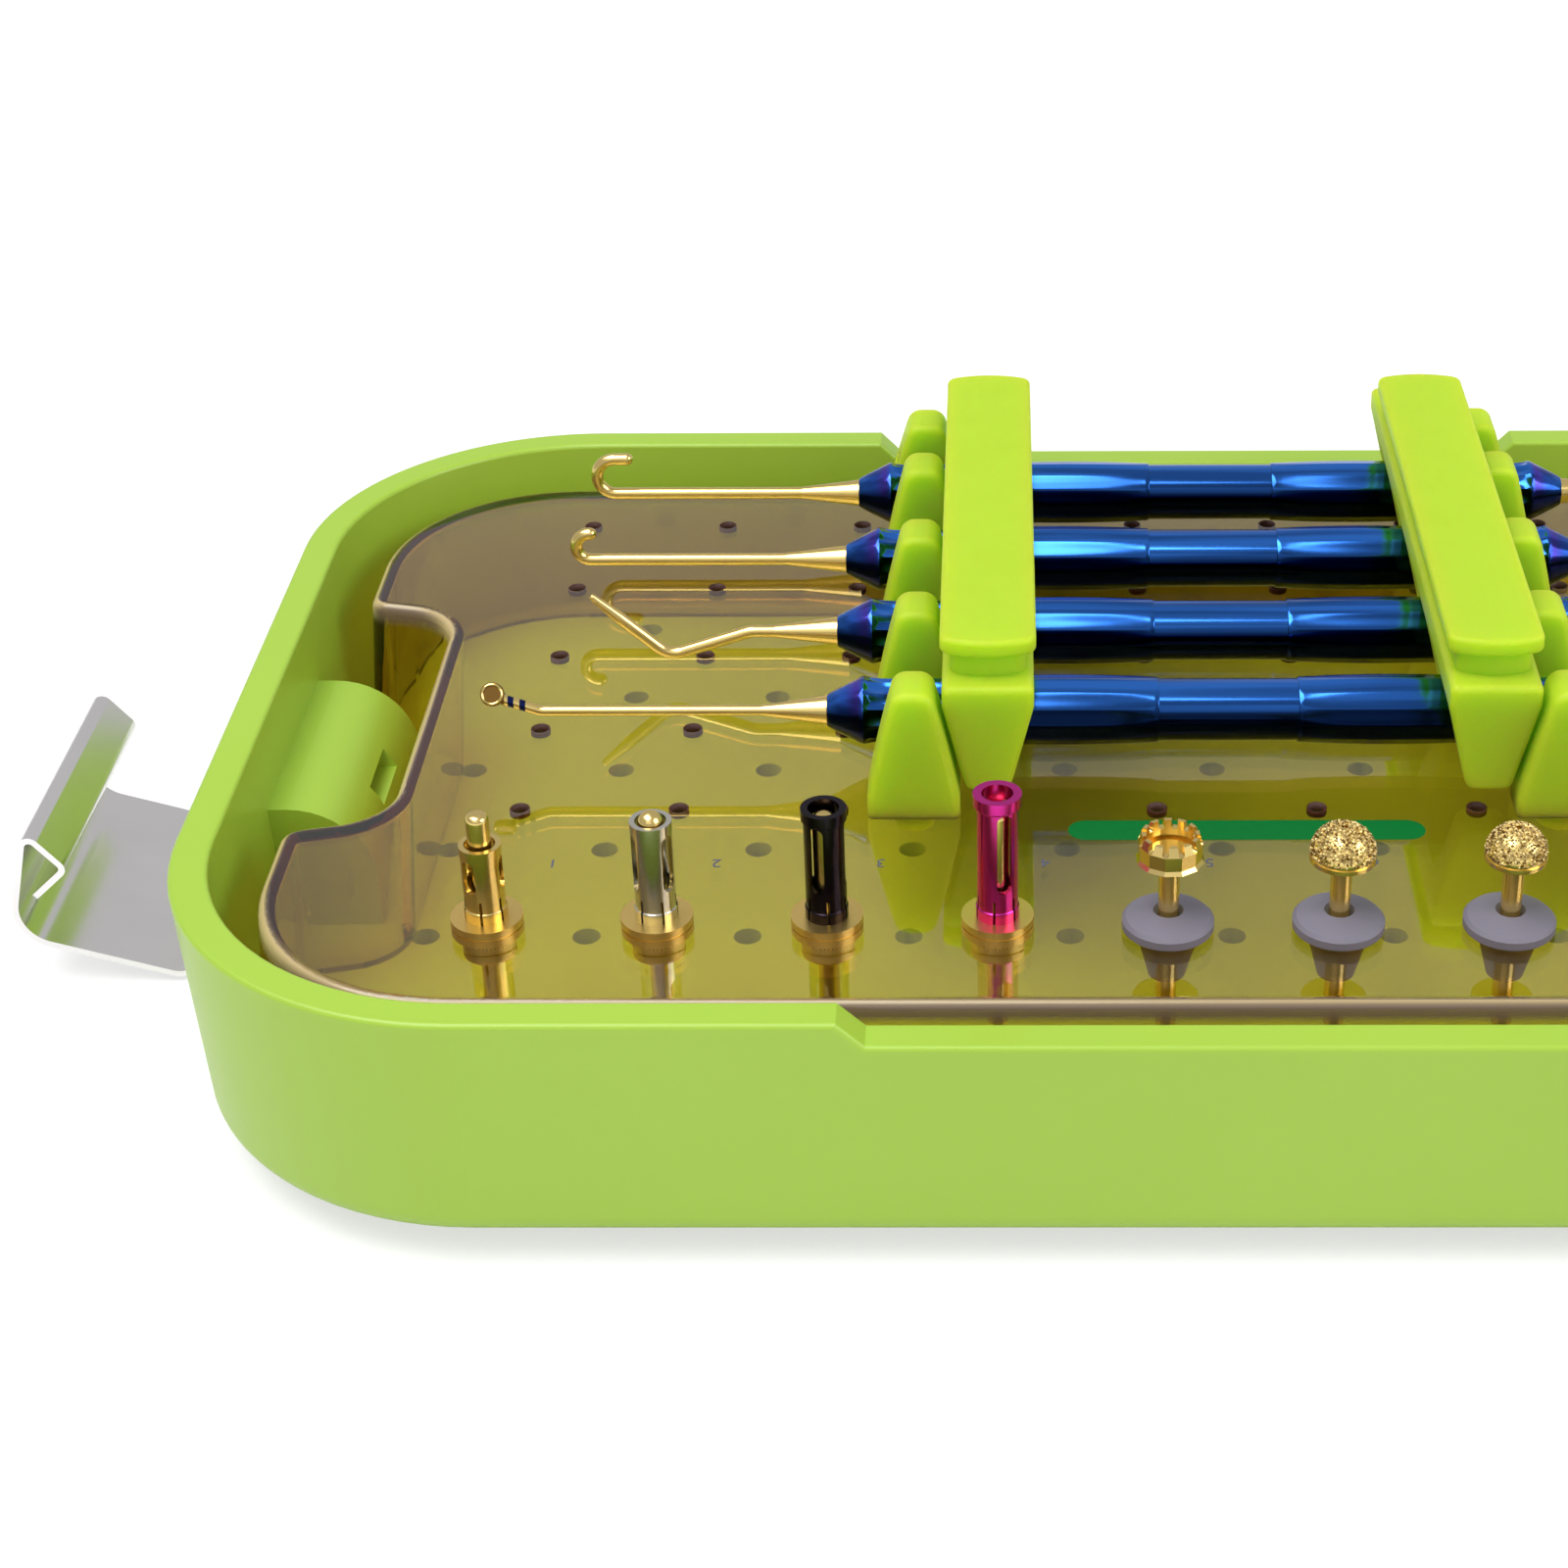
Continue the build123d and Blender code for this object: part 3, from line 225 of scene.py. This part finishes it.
CAMERA_AT = (-0.0288, -0.3283, 0.2171)
CAMERA_PITCH = 30.29
CAMERA_YAW = 0.68
CAMERA_ROLL = -0.45
camera_data = bpy.data.cameras.new("camera")
camera_data.lens = 68.87
camera_data.shift_x = -0.1175
camera_data.shift_y = -0.0306
camera_data.clip_start = 0.01
camera = bpy.data.objects.new("camera", camera_data)
bpy.context.scene.collection.objects.link(camera)
camera.matrix_world = (Matrix.Translation(CAMERA_AT) @ Matrix.Rotation(radians(CAMERA_YAW), 4, "Z")
                       @ Matrix.Rotation(radians(90 - CAMERA_PITCH), 4, "X")
                       @ Matrix.Rotation(radians(CAMERA_ROLL), 4, "Z"))
bpy.context.scene.camera = camera
bpy.context.scene.view_settings.view_transform = "Standard"

# ---- Tray ----
# A deep open tray moulded in lime plastic with a satin skin, on softer feet of a paler lime.
# Fine moulding grain breaks its gloss, and handling has dulled it unevenly.


def dress(material, *names):
    """Gives CAD nodes a finish in place of the one that they came with."""
    for name in names:
        mesh = nodes[name].data
        mesh.materials.clear()
        mesh.materials.append(material)


def moulded_plastic(name, colour, colour_worn, roughness):
    """Satin moulded plastic, clouded a little in colour and gloss, with a fine grain."""
    finish = Finish(bpy.data.materials.new(name))
    clouds = finish.mottle(45.0)
    grain = finish.mottle(2600.0, 2.0)
    return finish.surface({
        "Base Color": finish.mix(clouds, colour, colour_worn),
        "Roughness": roughness + clouds * 0.10,
        "Normal": finish.bump(grain, 0.12, 0.00005),
    })


dress(moulded_plastic("tray_plastic", shade(150, 185, 56), shade(155, 189, 62), 0.28), "tray")
dress(moulded_plastic("foot_silicone", shade(150, 186, 72), shade(158, 192, 80), 0.6), "tray_feet")

# ---- Latches ----
# Strips of stainless sheet, rolled round a pin in the tray's end boss and hooked at the free end.
# The rolled surface is bright, with faint brushing along the strip.
MACHINING_RELIEF = 0.000003


def worked_metal(name, colour, colour_worn, roughness, brushing=(1.0, 1.0, 1.0)):
    """Bare or coated metal with faint machining lines and a little handling haze."""
    finish = Finish(bpy.data.materials.new(name))
    haze = finish.mottle(90.0)
    lines = finish.mottle(2600.0, 2.0, brushing)
    return finish.surface({
        "Base Color": finish.mix(haze, colour, colour_worn),
        "Metallic": 1.0,
        "Roughness": roughness + haze * 0.08 + lines * 0.05,
        "Normal": finish.bump(lines, 0.1, MACHINING_RELIEF),
    })


sheet_steel = worked_metal("sheet_steel", shade(250, 247, 248), shade(238, 235, 237), 0.14,
                           brushing=(0.06, 1.0, 1.0))
dress(sheet_steel, "left_latch", "right_latch", "left_latch_pin", "right_latch_pin",
      "left_bar_pin", "right_bar_pin")

# ---- Insert ----
# One moulding in clear amber plastic, polished on both faces, whose skirt stands on the tray's floor.
# Its colour lies in the depth of the plastic, so that the deck is light and its edges are brown.
AMBER = (0.905, 0.645, 0.003, 1.0)
AMBER_DEPTH = 430.0
DECK_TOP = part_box("insert_plate")[1].z
DECK_THICKNESS = 0.002
# How much of the rim its painted reflection covers, where on the rim it lies, and its painted colours: brown
# where the rim faces the front, lighter sand where it faces aside.
EDGE_SHEEN = 0.85
EDGE_FROM, EDGE_TO = 1.6 * DECK_THICKNESS, 0.7 * DECK_THICKNESS
PAINTED_RIM_FRONT = shade(104, 84, 74), shade(126, 106, 86)
PAINTED_RIM_SIDES = shade(208, 184, 136)

amber = Finish(bpy.data.materials.new("amber_plate"))
swirl = amber.mottle(30.0)
ripple = amber.mottle(35.0, 1.0)
clear = amber.node("ShaderNodeBsdfPrincipled", None, {
    "Base Color": WHITE,
    "Roughness": 0.01 + swirl * 0.02,
    "IOR": 1.49,
    "Transmission Weight": 1.0,
    "Coat Weight": 0.4 + swirl * 0.3,
    "Coat IOR": 1.6,
    "Normal": amber.bump(ripple, 0.05, 0.0002),
})[0]
shadow = amber.node("ShaderNodeBsdfTransparent", None, {"Color": (0.94, 0.94, 0.94, 1.0)})[0]
is_shadow = amber.node("ShaderNodeLightPath")[SHADOW_RAY]
see_through = amber.node("ShaderNodeMixShader", None, {0: is_shadow, 1: clear, 2: shadow})[0]
# The turned-over rim of the deck carries a painted reflection: an opaque glossy skin stands in for the pale
# surround mirrored in its rounded edge. It is brown to the front and a painted lighter sand elsewhere, and
# hides most of the deep amber behind it.
height = amber.axes(OBJECT)[2]
facing = amber.axes(NORMAL)
painted_side_light = amber.ramp(facing[1], -0.9, -0.3, 0.0, 1.0)
rounded = amber.ramp(amber.absolute(facing[2]), 0.85, 0.995, 1.0, 0.0)
at_top = amber.ramp(height, DECK_TOP - EDGE_FROM, DECK_TOP - EDGE_TO, 0.0, 1.0)
painted_rim_reflection = amber.node("ShaderNodeBsdfPrincipled", None, {
    "Base Color": amber.mix(painted_side_light, amber.mix(swirl, *PAINTED_RIM_FRONT), PAINTED_RIM_SIDES),
    "Roughness": 0.16 + swirl * 0.08,
})[0]
see_through = amber.node("ShaderNodeMixShader", None, {
    0: rounded * at_top * EDGE_SHEEN, 1: see_through, 2: painted_rim_reflection})[0]
depth = amber.node("ShaderNodeVolumeAbsorption", None, {"Color": AMBER, "Density": AMBER_DEPTH})[0]
amber.node("ShaderNodeOutputMaterial", None, {"Surface": see_through, "Volume": depth})
dress(amber.owner, "insert_plate")

# The drilled walls of the deck's free holes are left rough, and look dark brown against the plate.
HOLE_PITCH = 0.019
HOLE_COLUMNS = 10
HOLE_ROWS = 5
HOLE_R = 0.00115
HOLE_WALL = 0.00014
HOLE_DEPTH = 0.0019
HOLE_CENTRE = (-0.0005, 0.014)
HOLE_SIDES = 24


class Pattern:
    """A Geometry Nodes tree with named inputs for its sizes."""

    def __init__(self, name, sizes):
        self.tree = bpy.data.node_groups.new(name, "GeometryNodeTree")
        self.tree.interface.new_socket("Geometry", in_out="OUTPUT", socket_type="NodeSocketGeometry")
        self.tree.interface.new_socket("Geometry", in_out="INPUT", socket_type="NodeSocketGeometry")
        self.sockets = {}
        for label, value in sizes.items():
            kind = "NodeSocketInt" if isinstance(value, int) else "NodeSocketFloat"
            self.sockets[label] = self.tree.interface.new_socket(label, in_out="INPUT", socket_type=kind)
        self.sizes = sizes
        self.inputs = self.tree.nodes.new("NodeGroupInput")

    def size(self, label):
        return self.inputs.outputs[label]

    def node(self, kind, settings=None, values=None):
        made = self.tree.nodes.new(kind)
        for name, setting in (settings or {}).items():
            setattr(made, name, setting)
        for name, value in (values or {}).items():
            if isinstance(value, bpy.types.NodeSocket):
                self.tree.links.new(value, made.inputs[name])
            else:
                made.inputs[name].default_value = value
        return made.outputs

    def finish(self, instances, material):
        real = self.node("GeometryNodeRealizeInstances", None, {0: instances})[0]
        dressed = self.node("GeometryNodeSetMaterial", None, {"Geometry": real, "Material": material})[0]
        self.tree.links.new(dressed, self.tree.nodes.new("NodeGroupOutput").inputs[0])

    def grow(self, name, base):
        """The pattern on a base mesh, as a plain mesh object."""
        carrier = bpy.data.objects.new(name, base)
        bpy.context.scene.collection.objects.link(carrier)
        modifier = carrier.modifiers.new("pattern", "NODES")
        modifier.node_group = self.tree
        for label, value in self.sizes.items():
            modifier[self.sockets[label].identifier] = value
        evaluated = carrier.evaluated_get(bpy.context.evaluated_depsgraph_get())
        grown = bpy.data.meshes.new_from_object(evaluated)
        carrier.modifiers.clear()
        carrier.data = grown
        finish = [material for material in grown.materials if material][0]
        grown.materials.clear()
        grown.materials.append(finish)
        grown.name = name
        return carrier


hole_brown = Finish(bpy.data.materials.new("drilled_brown"))
scuffs = hole_brown.mottle(1500.0)
hole_brown.surface({
    "Base Color": hole_brown.mix(scuffs, shade(74, 34, 18), shade(52, 22, 12)),
    "Roughness": 0.5 + scuffs * 0.2,
})

holes = Pattern("deck_holes", {"Pitch": HOLE_PITCH, "Columns": HOLE_COLUMNS, "Rows": HOLE_ROWS,
                               "Radius": HOLE_R, "Wall": HOLE_WALL, "Depth": HOLE_DEPTH})
columns_run = holes.node("ShaderNodeMath", {"operation": "MULTIPLY_ADD"},
                         {0: holes.size("Columns"), 1: holes.size("Pitch"), 2: -HOLE_PITCH})[0]
rows_run = holes.node("ShaderNodeMath", {"operation": "MULTIPLY_ADD"},
                      {0: holes.size("Rows"), 1: holes.size("Pitch"), 2: -HOLE_PITCH})[0]
grid = holes.node("GeometryNodeMeshGrid", None, {"Size X": columns_run, "Size Y": rows_run,
                                                 "Vertices X": holes.size("Columns"),
                                                 "Vertices Y": holes.size("Rows")})[0]
middle = holes.node("GeometryNodeTransform", None, {
    0: grid, "Translation": (*HOLE_CENTRE, DECK_TOP - DECK_THICKNESS / 2)})[0]
circle = holes.node("GeometryNodeCurvePrimitiveCircle", None, {
    "Resolution": HOLE_SIDES, "Radius": holes.size("Radius")})[0]
section = holes.node("GeometryNodeCurvePrimitiveQuadrilateral", None, {
    "Width": holes.size("Wall"), "Height": holes.size("Depth")})[0]
lining = holes.node("GeometryNodeCurveToMesh", None, {"Curve": circle, "Profile Curve": section})[0]
holes.finish(holes.node("GeometryNodeInstanceOnPoints", None, {"Points": middle, "Instance": lining})[0],
             hole_brown.owner)
linings = holes.grow("deck_hole_walls", bpy.data.meshes.new("deck_hole_walls"))
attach(linings, "insert")

# A green stripe and plain position numbers are printed on the deck, to be read from its rear.
STRIPE_CENTRE = (0.0003, -0.0292)
STRIPE_SIZE = (0.0420, 0.0043)
PRINT_FILM = 0.00003
NUMBER_HEIGHT = 0.0024
NUMBER_Y = -0.0362
NUMBER_BESIDE = 0.0055
FIRST_HOLDER_X = -0.086
HOLDER_PITCH = 0.019
HOLDER_COUNT = 10
END_STEPS = 16


def ink(name, colour):
    finish = Finish(bpy.data.materials.new(name))
    wear = finish.mottle(700.0, 4.0)
    return finish.surface({
        "Base Color": finish.mix(wear * 0.3, colour, tuple(c * 0.7 for c in colour[:3]) + (1.0,)),
        "Roughness": 0.4 + wear * 0.15,
        "Specular IOR Level": 0.2,
    })


def plain_object(name, vertices, faces, material, sharp=35.0):
    """A mesh object from points and faces, with normals outwards and shading split at sharp edges."""
    mesh = bpy.data.meshes.new(name)
    mesh.from_pydata(vertices, [], faces)
    shell = bmesh.new()
    shell.from_mesh(mesh)
    bmesh.ops.recalc_face_normals(shell, faces=shell.faces)
    shell.to_mesh(mesh)
    shell.free()
    mesh.shade_smooth()
    mesh.set_sharp_from_angle(angle=radians(sharp))
    mesh.materials.append(material)
    made = bpy.data.objects.new(name, mesh)
    bpy.context.scene.collection.objects.link(made)
    return made


half_run = (STRIPE_SIZE[0] - STRIPE_SIZE[1]) / 2
outline = []
for side in (1, -1):
    for step in range(END_STEPS + 1):
        turn = radians(-90 + step * 180 / END_STEPS)
        outline.append((STRIPE_CENTRE[0] + side * (half_run + cos(turn) * STRIPE_SIZE[1] / 2),
                        STRIPE_CENTRE[1] + side * sin(turn) * STRIPE_SIZE[1] / 2))
count = len(outline)
stripe = plain_object(
    "deck_stripe",
    [(x, y, DECK_TOP) for x, y in outline] + [(x, y, DECK_TOP + PRINT_FILM) for x, y in outline],
    [list(range(count)), list(range(count, 2 * count))]
    + [[i, (i + 1) % count, count + (i + 1) % count, count + i] for i in range(count)],
    ink("stripe_green", shade(0, 104, 42)))
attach(stripe, "insert")

numbers = bmesh.new()
for i in range(HOLDER_COUNT):
    x = FIRST_HOLDER_X + i * HOLDER_PITCH
    words = bpy.data.curves.new("number", "FONT")
    words.body = str(i + 1)
    words.size = NUMBER_HEIGHT
    words.extrude = PRINT_FILM / 2
    words.align_x = "CENTER"
    words.align_y = "CENTER"
    lettered = bpy.data.objects.new("number", words)
    bpy.context.scene.collection.objects.link(lettered)
    evaluated = lettered.evaluated_get(bpy.context.evaluated_depsgraph_get())
    flat = bpy.data.meshes.new_from_object(evaluated)
    flat.transform(Matrix.Translation((x + NUMBER_BESIDE, NUMBER_Y, DECK_TOP + PRINT_FILM / 2))
                   @ Matrix.Rotation(pi, 4, "Z"))
    numbers.from_mesh(flat)
    bpy.data.objects.remove(lettered)
bmesh.ops.remove_doubles(numbers, verts=numbers.verts, dist=1e-7)
number_mesh = bpy.data.meshes.new("deck_numbers")
numbers.to_mesh(number_mesh)
numbers.free()
number_mesh.materials.append(ink("number_grey", shade(84, 88, 108)))
deck_numbers = bpy.data.objects.new("deck_numbers", number_mesh)
bpy.context.scene.collection.objects.link(deck_numbers)
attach(deck_numbers, "insert")

# ---- Racks and clamp bars ----
# Soft lime silicone, moulded in one colour: a comb of fingers that holds the grips of the
# instruments, and a bar with recesses that closes over them.


def silicone(name, colour, colour_dusty, glow):
    """Matt silicone that light sinks into, with a faint moulded grain."""
    finish = Finish(bpy.data.materials.new(name))
    dust = finish.mottle(120.0)
    grain = finish.mottle(1800.0, 2.0)
    return finish.surface({
        "Base Color": finish.mix(dust, colour, colour_dusty),
        "Roughness": 0.46 + dust * 0.12,
        "Specular IOR Level": 0.3,
        "Subsurface Weight": glow,
        "Subsurface Radius": (0.6, 1.0, 0.15),
        "Subsurface Scale": 0.014,
        "Normal": finish.bump(grain, 0.15, 0.00004),
    })


dress(silicone("rack_silicone", shade(167, 197, 36), shade(163, 193, 34), 0.95),
      "left_comb", "right_comb", "left_clamp_bar", "right_clamp_bar")

# ---- Handles ----
# Turned aluminium, polished and anodised blue, that runs to purple on the cones at both ends. Shallow
# flutes are milled along the waists and the two bowed barrels, and a plain band joins the barrels.
SIDES = 144
FLUTES = 12
# distance from the handle's end, radius, and depth of the flutes there, in millimetres
HALF_HANDLE = ((0.0, 1.80, 0.0), (0.05, 1.95, 0.0), (0.3, 2.12, 0.0), (1.2, 2.60, 0.0), (2.2, 3.10, 0.0),
               (3.2, 3.60, 0.0), (4.0, 4.00, 0.0), (4.3, 4.12, 0.0), (4.5, 4.15, 0.0), (4.62, 4.12, 0.05),
               (4.9, 4.02, 0.16), (5.4, 3.92, 0.28), (6.2, 3.84, 0.38), (7.2, 3.80, 0.44), (9.0, 3.80, 0.46),
               (11.5, 3.80, 0.44), (13.4, 3.82, 0.36), (14.8, 3.88, 0.24), (16.0, 3.93, 0.10),
               (16.8, 3.95, 0.0), (17.0, 3.96, 0.0), (17.6, 3.98, 0.03), (18.6, 4.02, 0.07),
               (20.5, 4.10, 0.11), (23.0, 4.18, 0.13), (26.0, 4.23, 0.14), (28.5, 4.25, 0.14),
               (31.0, 4.23, 0.14), (34.0, 4.18, 0.13), (36.5, 4.10, 0.11), (38.4, 4.02, 0.07),
               (39.4, 3.97, 0.03), (39.85, 3.95, 0.0), (39.98, 3.90, 0.0), (40.0, 3.78, 0.0),
               (40.04, 3.75, 0.0), (44.0, 3.75, 0.0), (48.4, 3.75, 0.0))
CONE_LENGTH = 0.0046
CONE_TINTS = ((0.0, shade(66, 136, 240)), (0.5, shade(60, 108, 228)), (0.8, shade(104, 66, 206)),
              (0.94, shade(68, 104, 226)), (1.0, shade(62, 134, 240)))
# First the painted shade on the handles' undersides, then a lighter blue where the anodising is uneven.
BLUE_PAINTED_SHADE = shade(6, 12, 40)
BLUE_HAZE = shade(50, 116, 230)


def skin(name, rings, material, loop=False, sharp=35.0):
    """A closed skin over rings of points: capped at both ends, or closed on itself."""
    sides = len(rings[0])
    faces = []
    for i in range(len(rings) if loop else len(rings) - 1):
        after = (i + 1) % len(rings)
        for j in range(sides):
            k = (j + 1) % sides
            faces.append((i * sides + j, i * sides + k, after * sides + k, after * sides + j))
    if not loop:
        faces += [tuple(range(sides)), tuple(range((len(rings) - 1) * sides, len(rings) * sides))]
    return plain_object(name, [point for ring in rings for point in ring], faces, material, sharp)


for number in range(1, 5):
    node = f"handle_{number}"
    low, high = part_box(node)
    centre = (low + high) / 2
    half = (high.x - low.x) / 2
    finish = Finish(bpy.data.materials.new(f"{node}_blue_metal"))
    from_middle = finish.absolute(finish.axes(OBJECT)[0] - centre.x)
    to_end = (half - from_middle) * (1.0 / CONE_LENGTH)
    haze = finish.mottle(160.0)
    lines = finish.mottle(500.0, 2.0, (6.0, 1.0, 1.0))
    # Painted shade: the colour turns to dark blue towards the underside of each handle. Long dark streaks,
    # painted along the handle, stand in for reflections in the flutes.
    painted_streaks = finish.mottle(620.0, 1.0, (0.03, 1.0, 1.0))
    painted_lit_side = finish.ramp(finish.axes(NORMAL)[2], 0.15, 1.0, 0.02, 1.0)
    painted_streak_shade = finish.ramp(painted_streaks, 0.40, 0.58, 0.5, 1.0, "LINEAR")
    tint = finish.node("ShaderNodeValToRGB", {"stops": CONE_TINTS}, {0: to_end})[0]
    tint = finish.mix(haze * 0.3, tint, BLUE_HAZE)
    finish.surface({
        "Base Color": finish.mix(painted_lit_side * painted_streak_shade, BLUE_PAINTED_SHADE, tint),
        "Metallic": 1.0,
        "Roughness": 0.10 + haze * 0.04 + lines * 0.03,
    })
    stations = [(-half + s / 1000, r, d) for s, r, d in HALF_HANDLE]
    stations += [(half - s / 1000, r, d) for s, r, d in reversed(HALF_HANDLE[:-1])]
    rings = []
    for x, radius, flute in stations:
        ring = []
        for j in range(SIDES):
            across = j * FLUTES / SIDES % 1.0
            r = (radius - flute * sin(pi * across)) / 1000
            turn = 2 * pi * j / SIDES
            ring.append((centre.x + x, centre.y + r * cos(turn), centre.z + r * sin(turn)))
        rings.append(ring)
    grip = skin(f"grip_{number}", rings, finish.owner, sharp=28.0)
    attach(grip, "insert")
    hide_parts(node)

# ---- Working tips ----
# Fine steel rods with a gold nitride coating. The neck of each disc carries two blue depth bands,
# and a rolled rim runs round its edge.
GOLD = shade(242, 216, 142)
GOLD_WORN = shade(230, 200, 122)
gold = worked_metal("gold_metal", GOLD, GOLD_WORN, 0.15)
dress(gold, *[f"tip_{number}_{side}" for number in range(1, 5) for side in ("left", "right")])

BANDS = ((0.0033, 0.0040), (0.0047, 0.0054))
# How far from the end the disc reaches, and the darker gold painted on it as painted shade, standing in for
# the dark deck that it mirrors.
DISH_REACH = 0.0029
DISH_PAINTED_SHADE = shade(122, 90, 44)
BAND_BLUE = shade(30, 40, 92)
RIM_R = 0.00118
RIM_THICKNESS = 0.00027
RIM_DEPTH_SHARE = 2.1
RIM_STEPS = 48
RIM_SIDES = 12
DISC_R = 0.00145
NECK_R = 0.0018
DISC_RISE = 0.00225
DISC_TILT = radians(32.0)

for node, side in (("tip_1_left", 1), ("tip_3_right", -1)):
    low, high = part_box(node)
    end = low.x if side > 0 else high.x
    finish = Finish(bpy.data.materials.new(f"{node}_banded_gold"))
    reach = (finish.axes(OBJECT)[0] - end) * side
    banded = sum(((reach > first) * (reach < last) for first, last in BANDS), start=0.0)
    haze = finish.mottle(200.0)
    worn = finish.mix(haze, GOLD, GOLD_WORN)
    # Painted shade: the disc at the tip's end is painted a darker gold.
    painted_dish_shade = finish.mix(reach < DISH_REACH, worn, DISH_PAINTED_SHADE)
    dress(finish.surface({
        "Base Color": finish.mix(banded, painted_dish_shade, BAND_BLUE),
        "Metallic": 1.0,
        "Roughness": 0.18 + haze * 0.08,
    }), node)
    centre = Vector((end + side * DISC_R, (low.y + high.y) / 2, low.z + NECK_R + DISC_RISE))
    facing = Vector((0, -cos(DISC_TILT), sin(DISC_TILT)))
    rings = []
    for i in range(RIM_STEPS):
        turn = 2 * pi * i / RIM_STEPS
        outwards = Vector((cos(turn), sin(turn) * sin(DISC_TILT), sin(turn) * cos(DISC_TILT)))
        hub = centre + outwards * RIM_R
        rolls = [2 * pi * j / RIM_SIDES for j in range(RIM_SIDES)]
        rings.append([hub + (outwards * cos(roll) * RIM_THICKNESS
                             + facing * sin(roll) * RIM_DEPTH_SHARE * RIM_THICKNESS) for roll in rolls])
    rim = skin(f"{node}_rim", rings, gold, loop=True)
    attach(rim, "insert")

# ---- Guides, sleeves and drills ----
# Brass guides, turned with a groove between two bands, stand in the deck. Each holds a slit stop
# sleeve round a drill, and the sleeves differ in height and in the colour of their coating.
brass = worked_metal("turned_brass", shade(240, 210, 130), shade(226, 192, 110), 0.27, (1.0, 1.0, 3.0))
dress(brass, *[f"guide_{number}" for number in range(1, 5)])
dress(gold, *[f"drill_{number}" for number in range(1, 5)])
dress(gold, "sleeve_1")
dress(worked_metal("silver_metal", shade(222, 219, 208), shade(206, 203, 192), 0.14), "sleeve_2")
dress(worked_metal("black_metal", shade(50, 42, 52), shade(36, 31, 38), 0.14), "sleeve_3")
dress(worked_metal("magenta_metal", shade(222, 58, 164), shade(204, 44, 144), 0.15), "sleeve_4")

# ---- Grommets ----
# Violet-grey silicone grommets, pushed through the deck until their barbs spring out below it.
dress(silicone("grommet_silicone", shade(112, 108, 121), shade(120, 116, 129), 0.1),
      *[f"grommet_{number}" for number in range(5, 11)])

# ---- Burs ----
# Burs coated gold from shank to head: two bright crowns, and four domes on which coarse grit is
# bonded by plating, down to a polished lip.
ROUND_BURS = (6, 7, 9, 10)
HEAD_BASE = 0.0092
GRAIN_SPACING = 0.00031
GRAIN_SIZE = 0.00021
GRAIN_SPREAD = (0.6, 1.3)
GRAINS_PER_AREA = 5e7
GRIT_FROM_LIP = 0.00075
GRIT_FROM_HOLE = 0.00048
dress(gold, *[f"bur_{number}" for number in range(5, 11)])

grit_gold = Finish(bpy.data.materials.new("grit_gold"))
# Painted light on the grit: a fine mottle paints bright glints and dark shade between the grains over the
# gold.
facets = grit_gold.mottle(2600.0, 1.0)
painted_glints_and_shade = grit_gold.ramp(facets, 0.4, 0.6, 0.0, 1.0, "LINEAR")
grit_gold.surface({
    "Base Color": grit_gold.mix(painted_glints_and_shade, shade(112, 80, 30), shade(250, 228, 164)),
    "Metallic": 1.0,
    "Roughness": 0.5 + facets * 0.1,
})

grit = Pattern("bonded_grit", {"Spacing": GRAIN_SPACING, "Grain": GRAIN_SIZE, "Seed": 7})
points = grit.node("GeometryNodeDistributePointsOnFaces", {"distribute_method": "POISSON"}, {
    "Mesh": grit.inputs.outputs[0], "Distance Min": grit.size("Spacing"), "Density Max": GRAINS_PER_AREA,
    "Seed": grit.size("Seed")})
grain = grit.node("GeometryNodeMeshIcoSphere", None, {"Radius": grit.size("Grain"), "Subdivisions": 1})[0]
spin = grit.node("FunctionNodeRandomValue", {"data_type": "FLOAT_VECTOR"}, {
    0: (0.0, 0.0, 0.0), 1: (6.28, 6.28, 6.28), "Seed": grit.size("Seed")})[0]
spread = grit.node("FunctionNodeRandomValue", {"data_type": "FLOAT_VECTOR"}, {
    0: 3 * GRAIN_SPREAD[:1], 1: 3 * GRAIN_SPREAD[1:], "Seed": 11})[0]
turned = grit.node("FunctionNodeEulerToRotation", None, {0: spin})[0]
grit.finish(grit.node("GeometryNodeInstanceOnPoints", None, {
    "Points": points[0], "Instance": grain, "Rotation": turned, "Scale": spread})[0], grit_gold.owner)

for number in ROUND_BURS:
    node = f"bur_{number}"
    low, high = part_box(node)
    axis = (low + high) / 2
    lip = DECK_TOP + HEAD_BASE + GRIT_FROM_LIP
    dome = bmesh.new()
    dome.from_mesh(nodes[node].data)
    bmesh.ops.remove_doubles(dome, verts=dome.verts, dist=1e-6)
    plain = [face for face in dome.faces if face.calc_center_median().z < lip or face.normal.z < 0.02
             or (face.calc_center_median() - axis).to_2d().length < GRIT_FROM_HOLE]
    bmesh.ops.delete(dome, geom=plain, context="FACES")
    bed = bpy.data.meshes.new(f"grit_{number}")
    dome.to_mesh(bed)
    dome.free()
    coat = grit.grow(f"grit_{number}", bed)
    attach(coat, node)
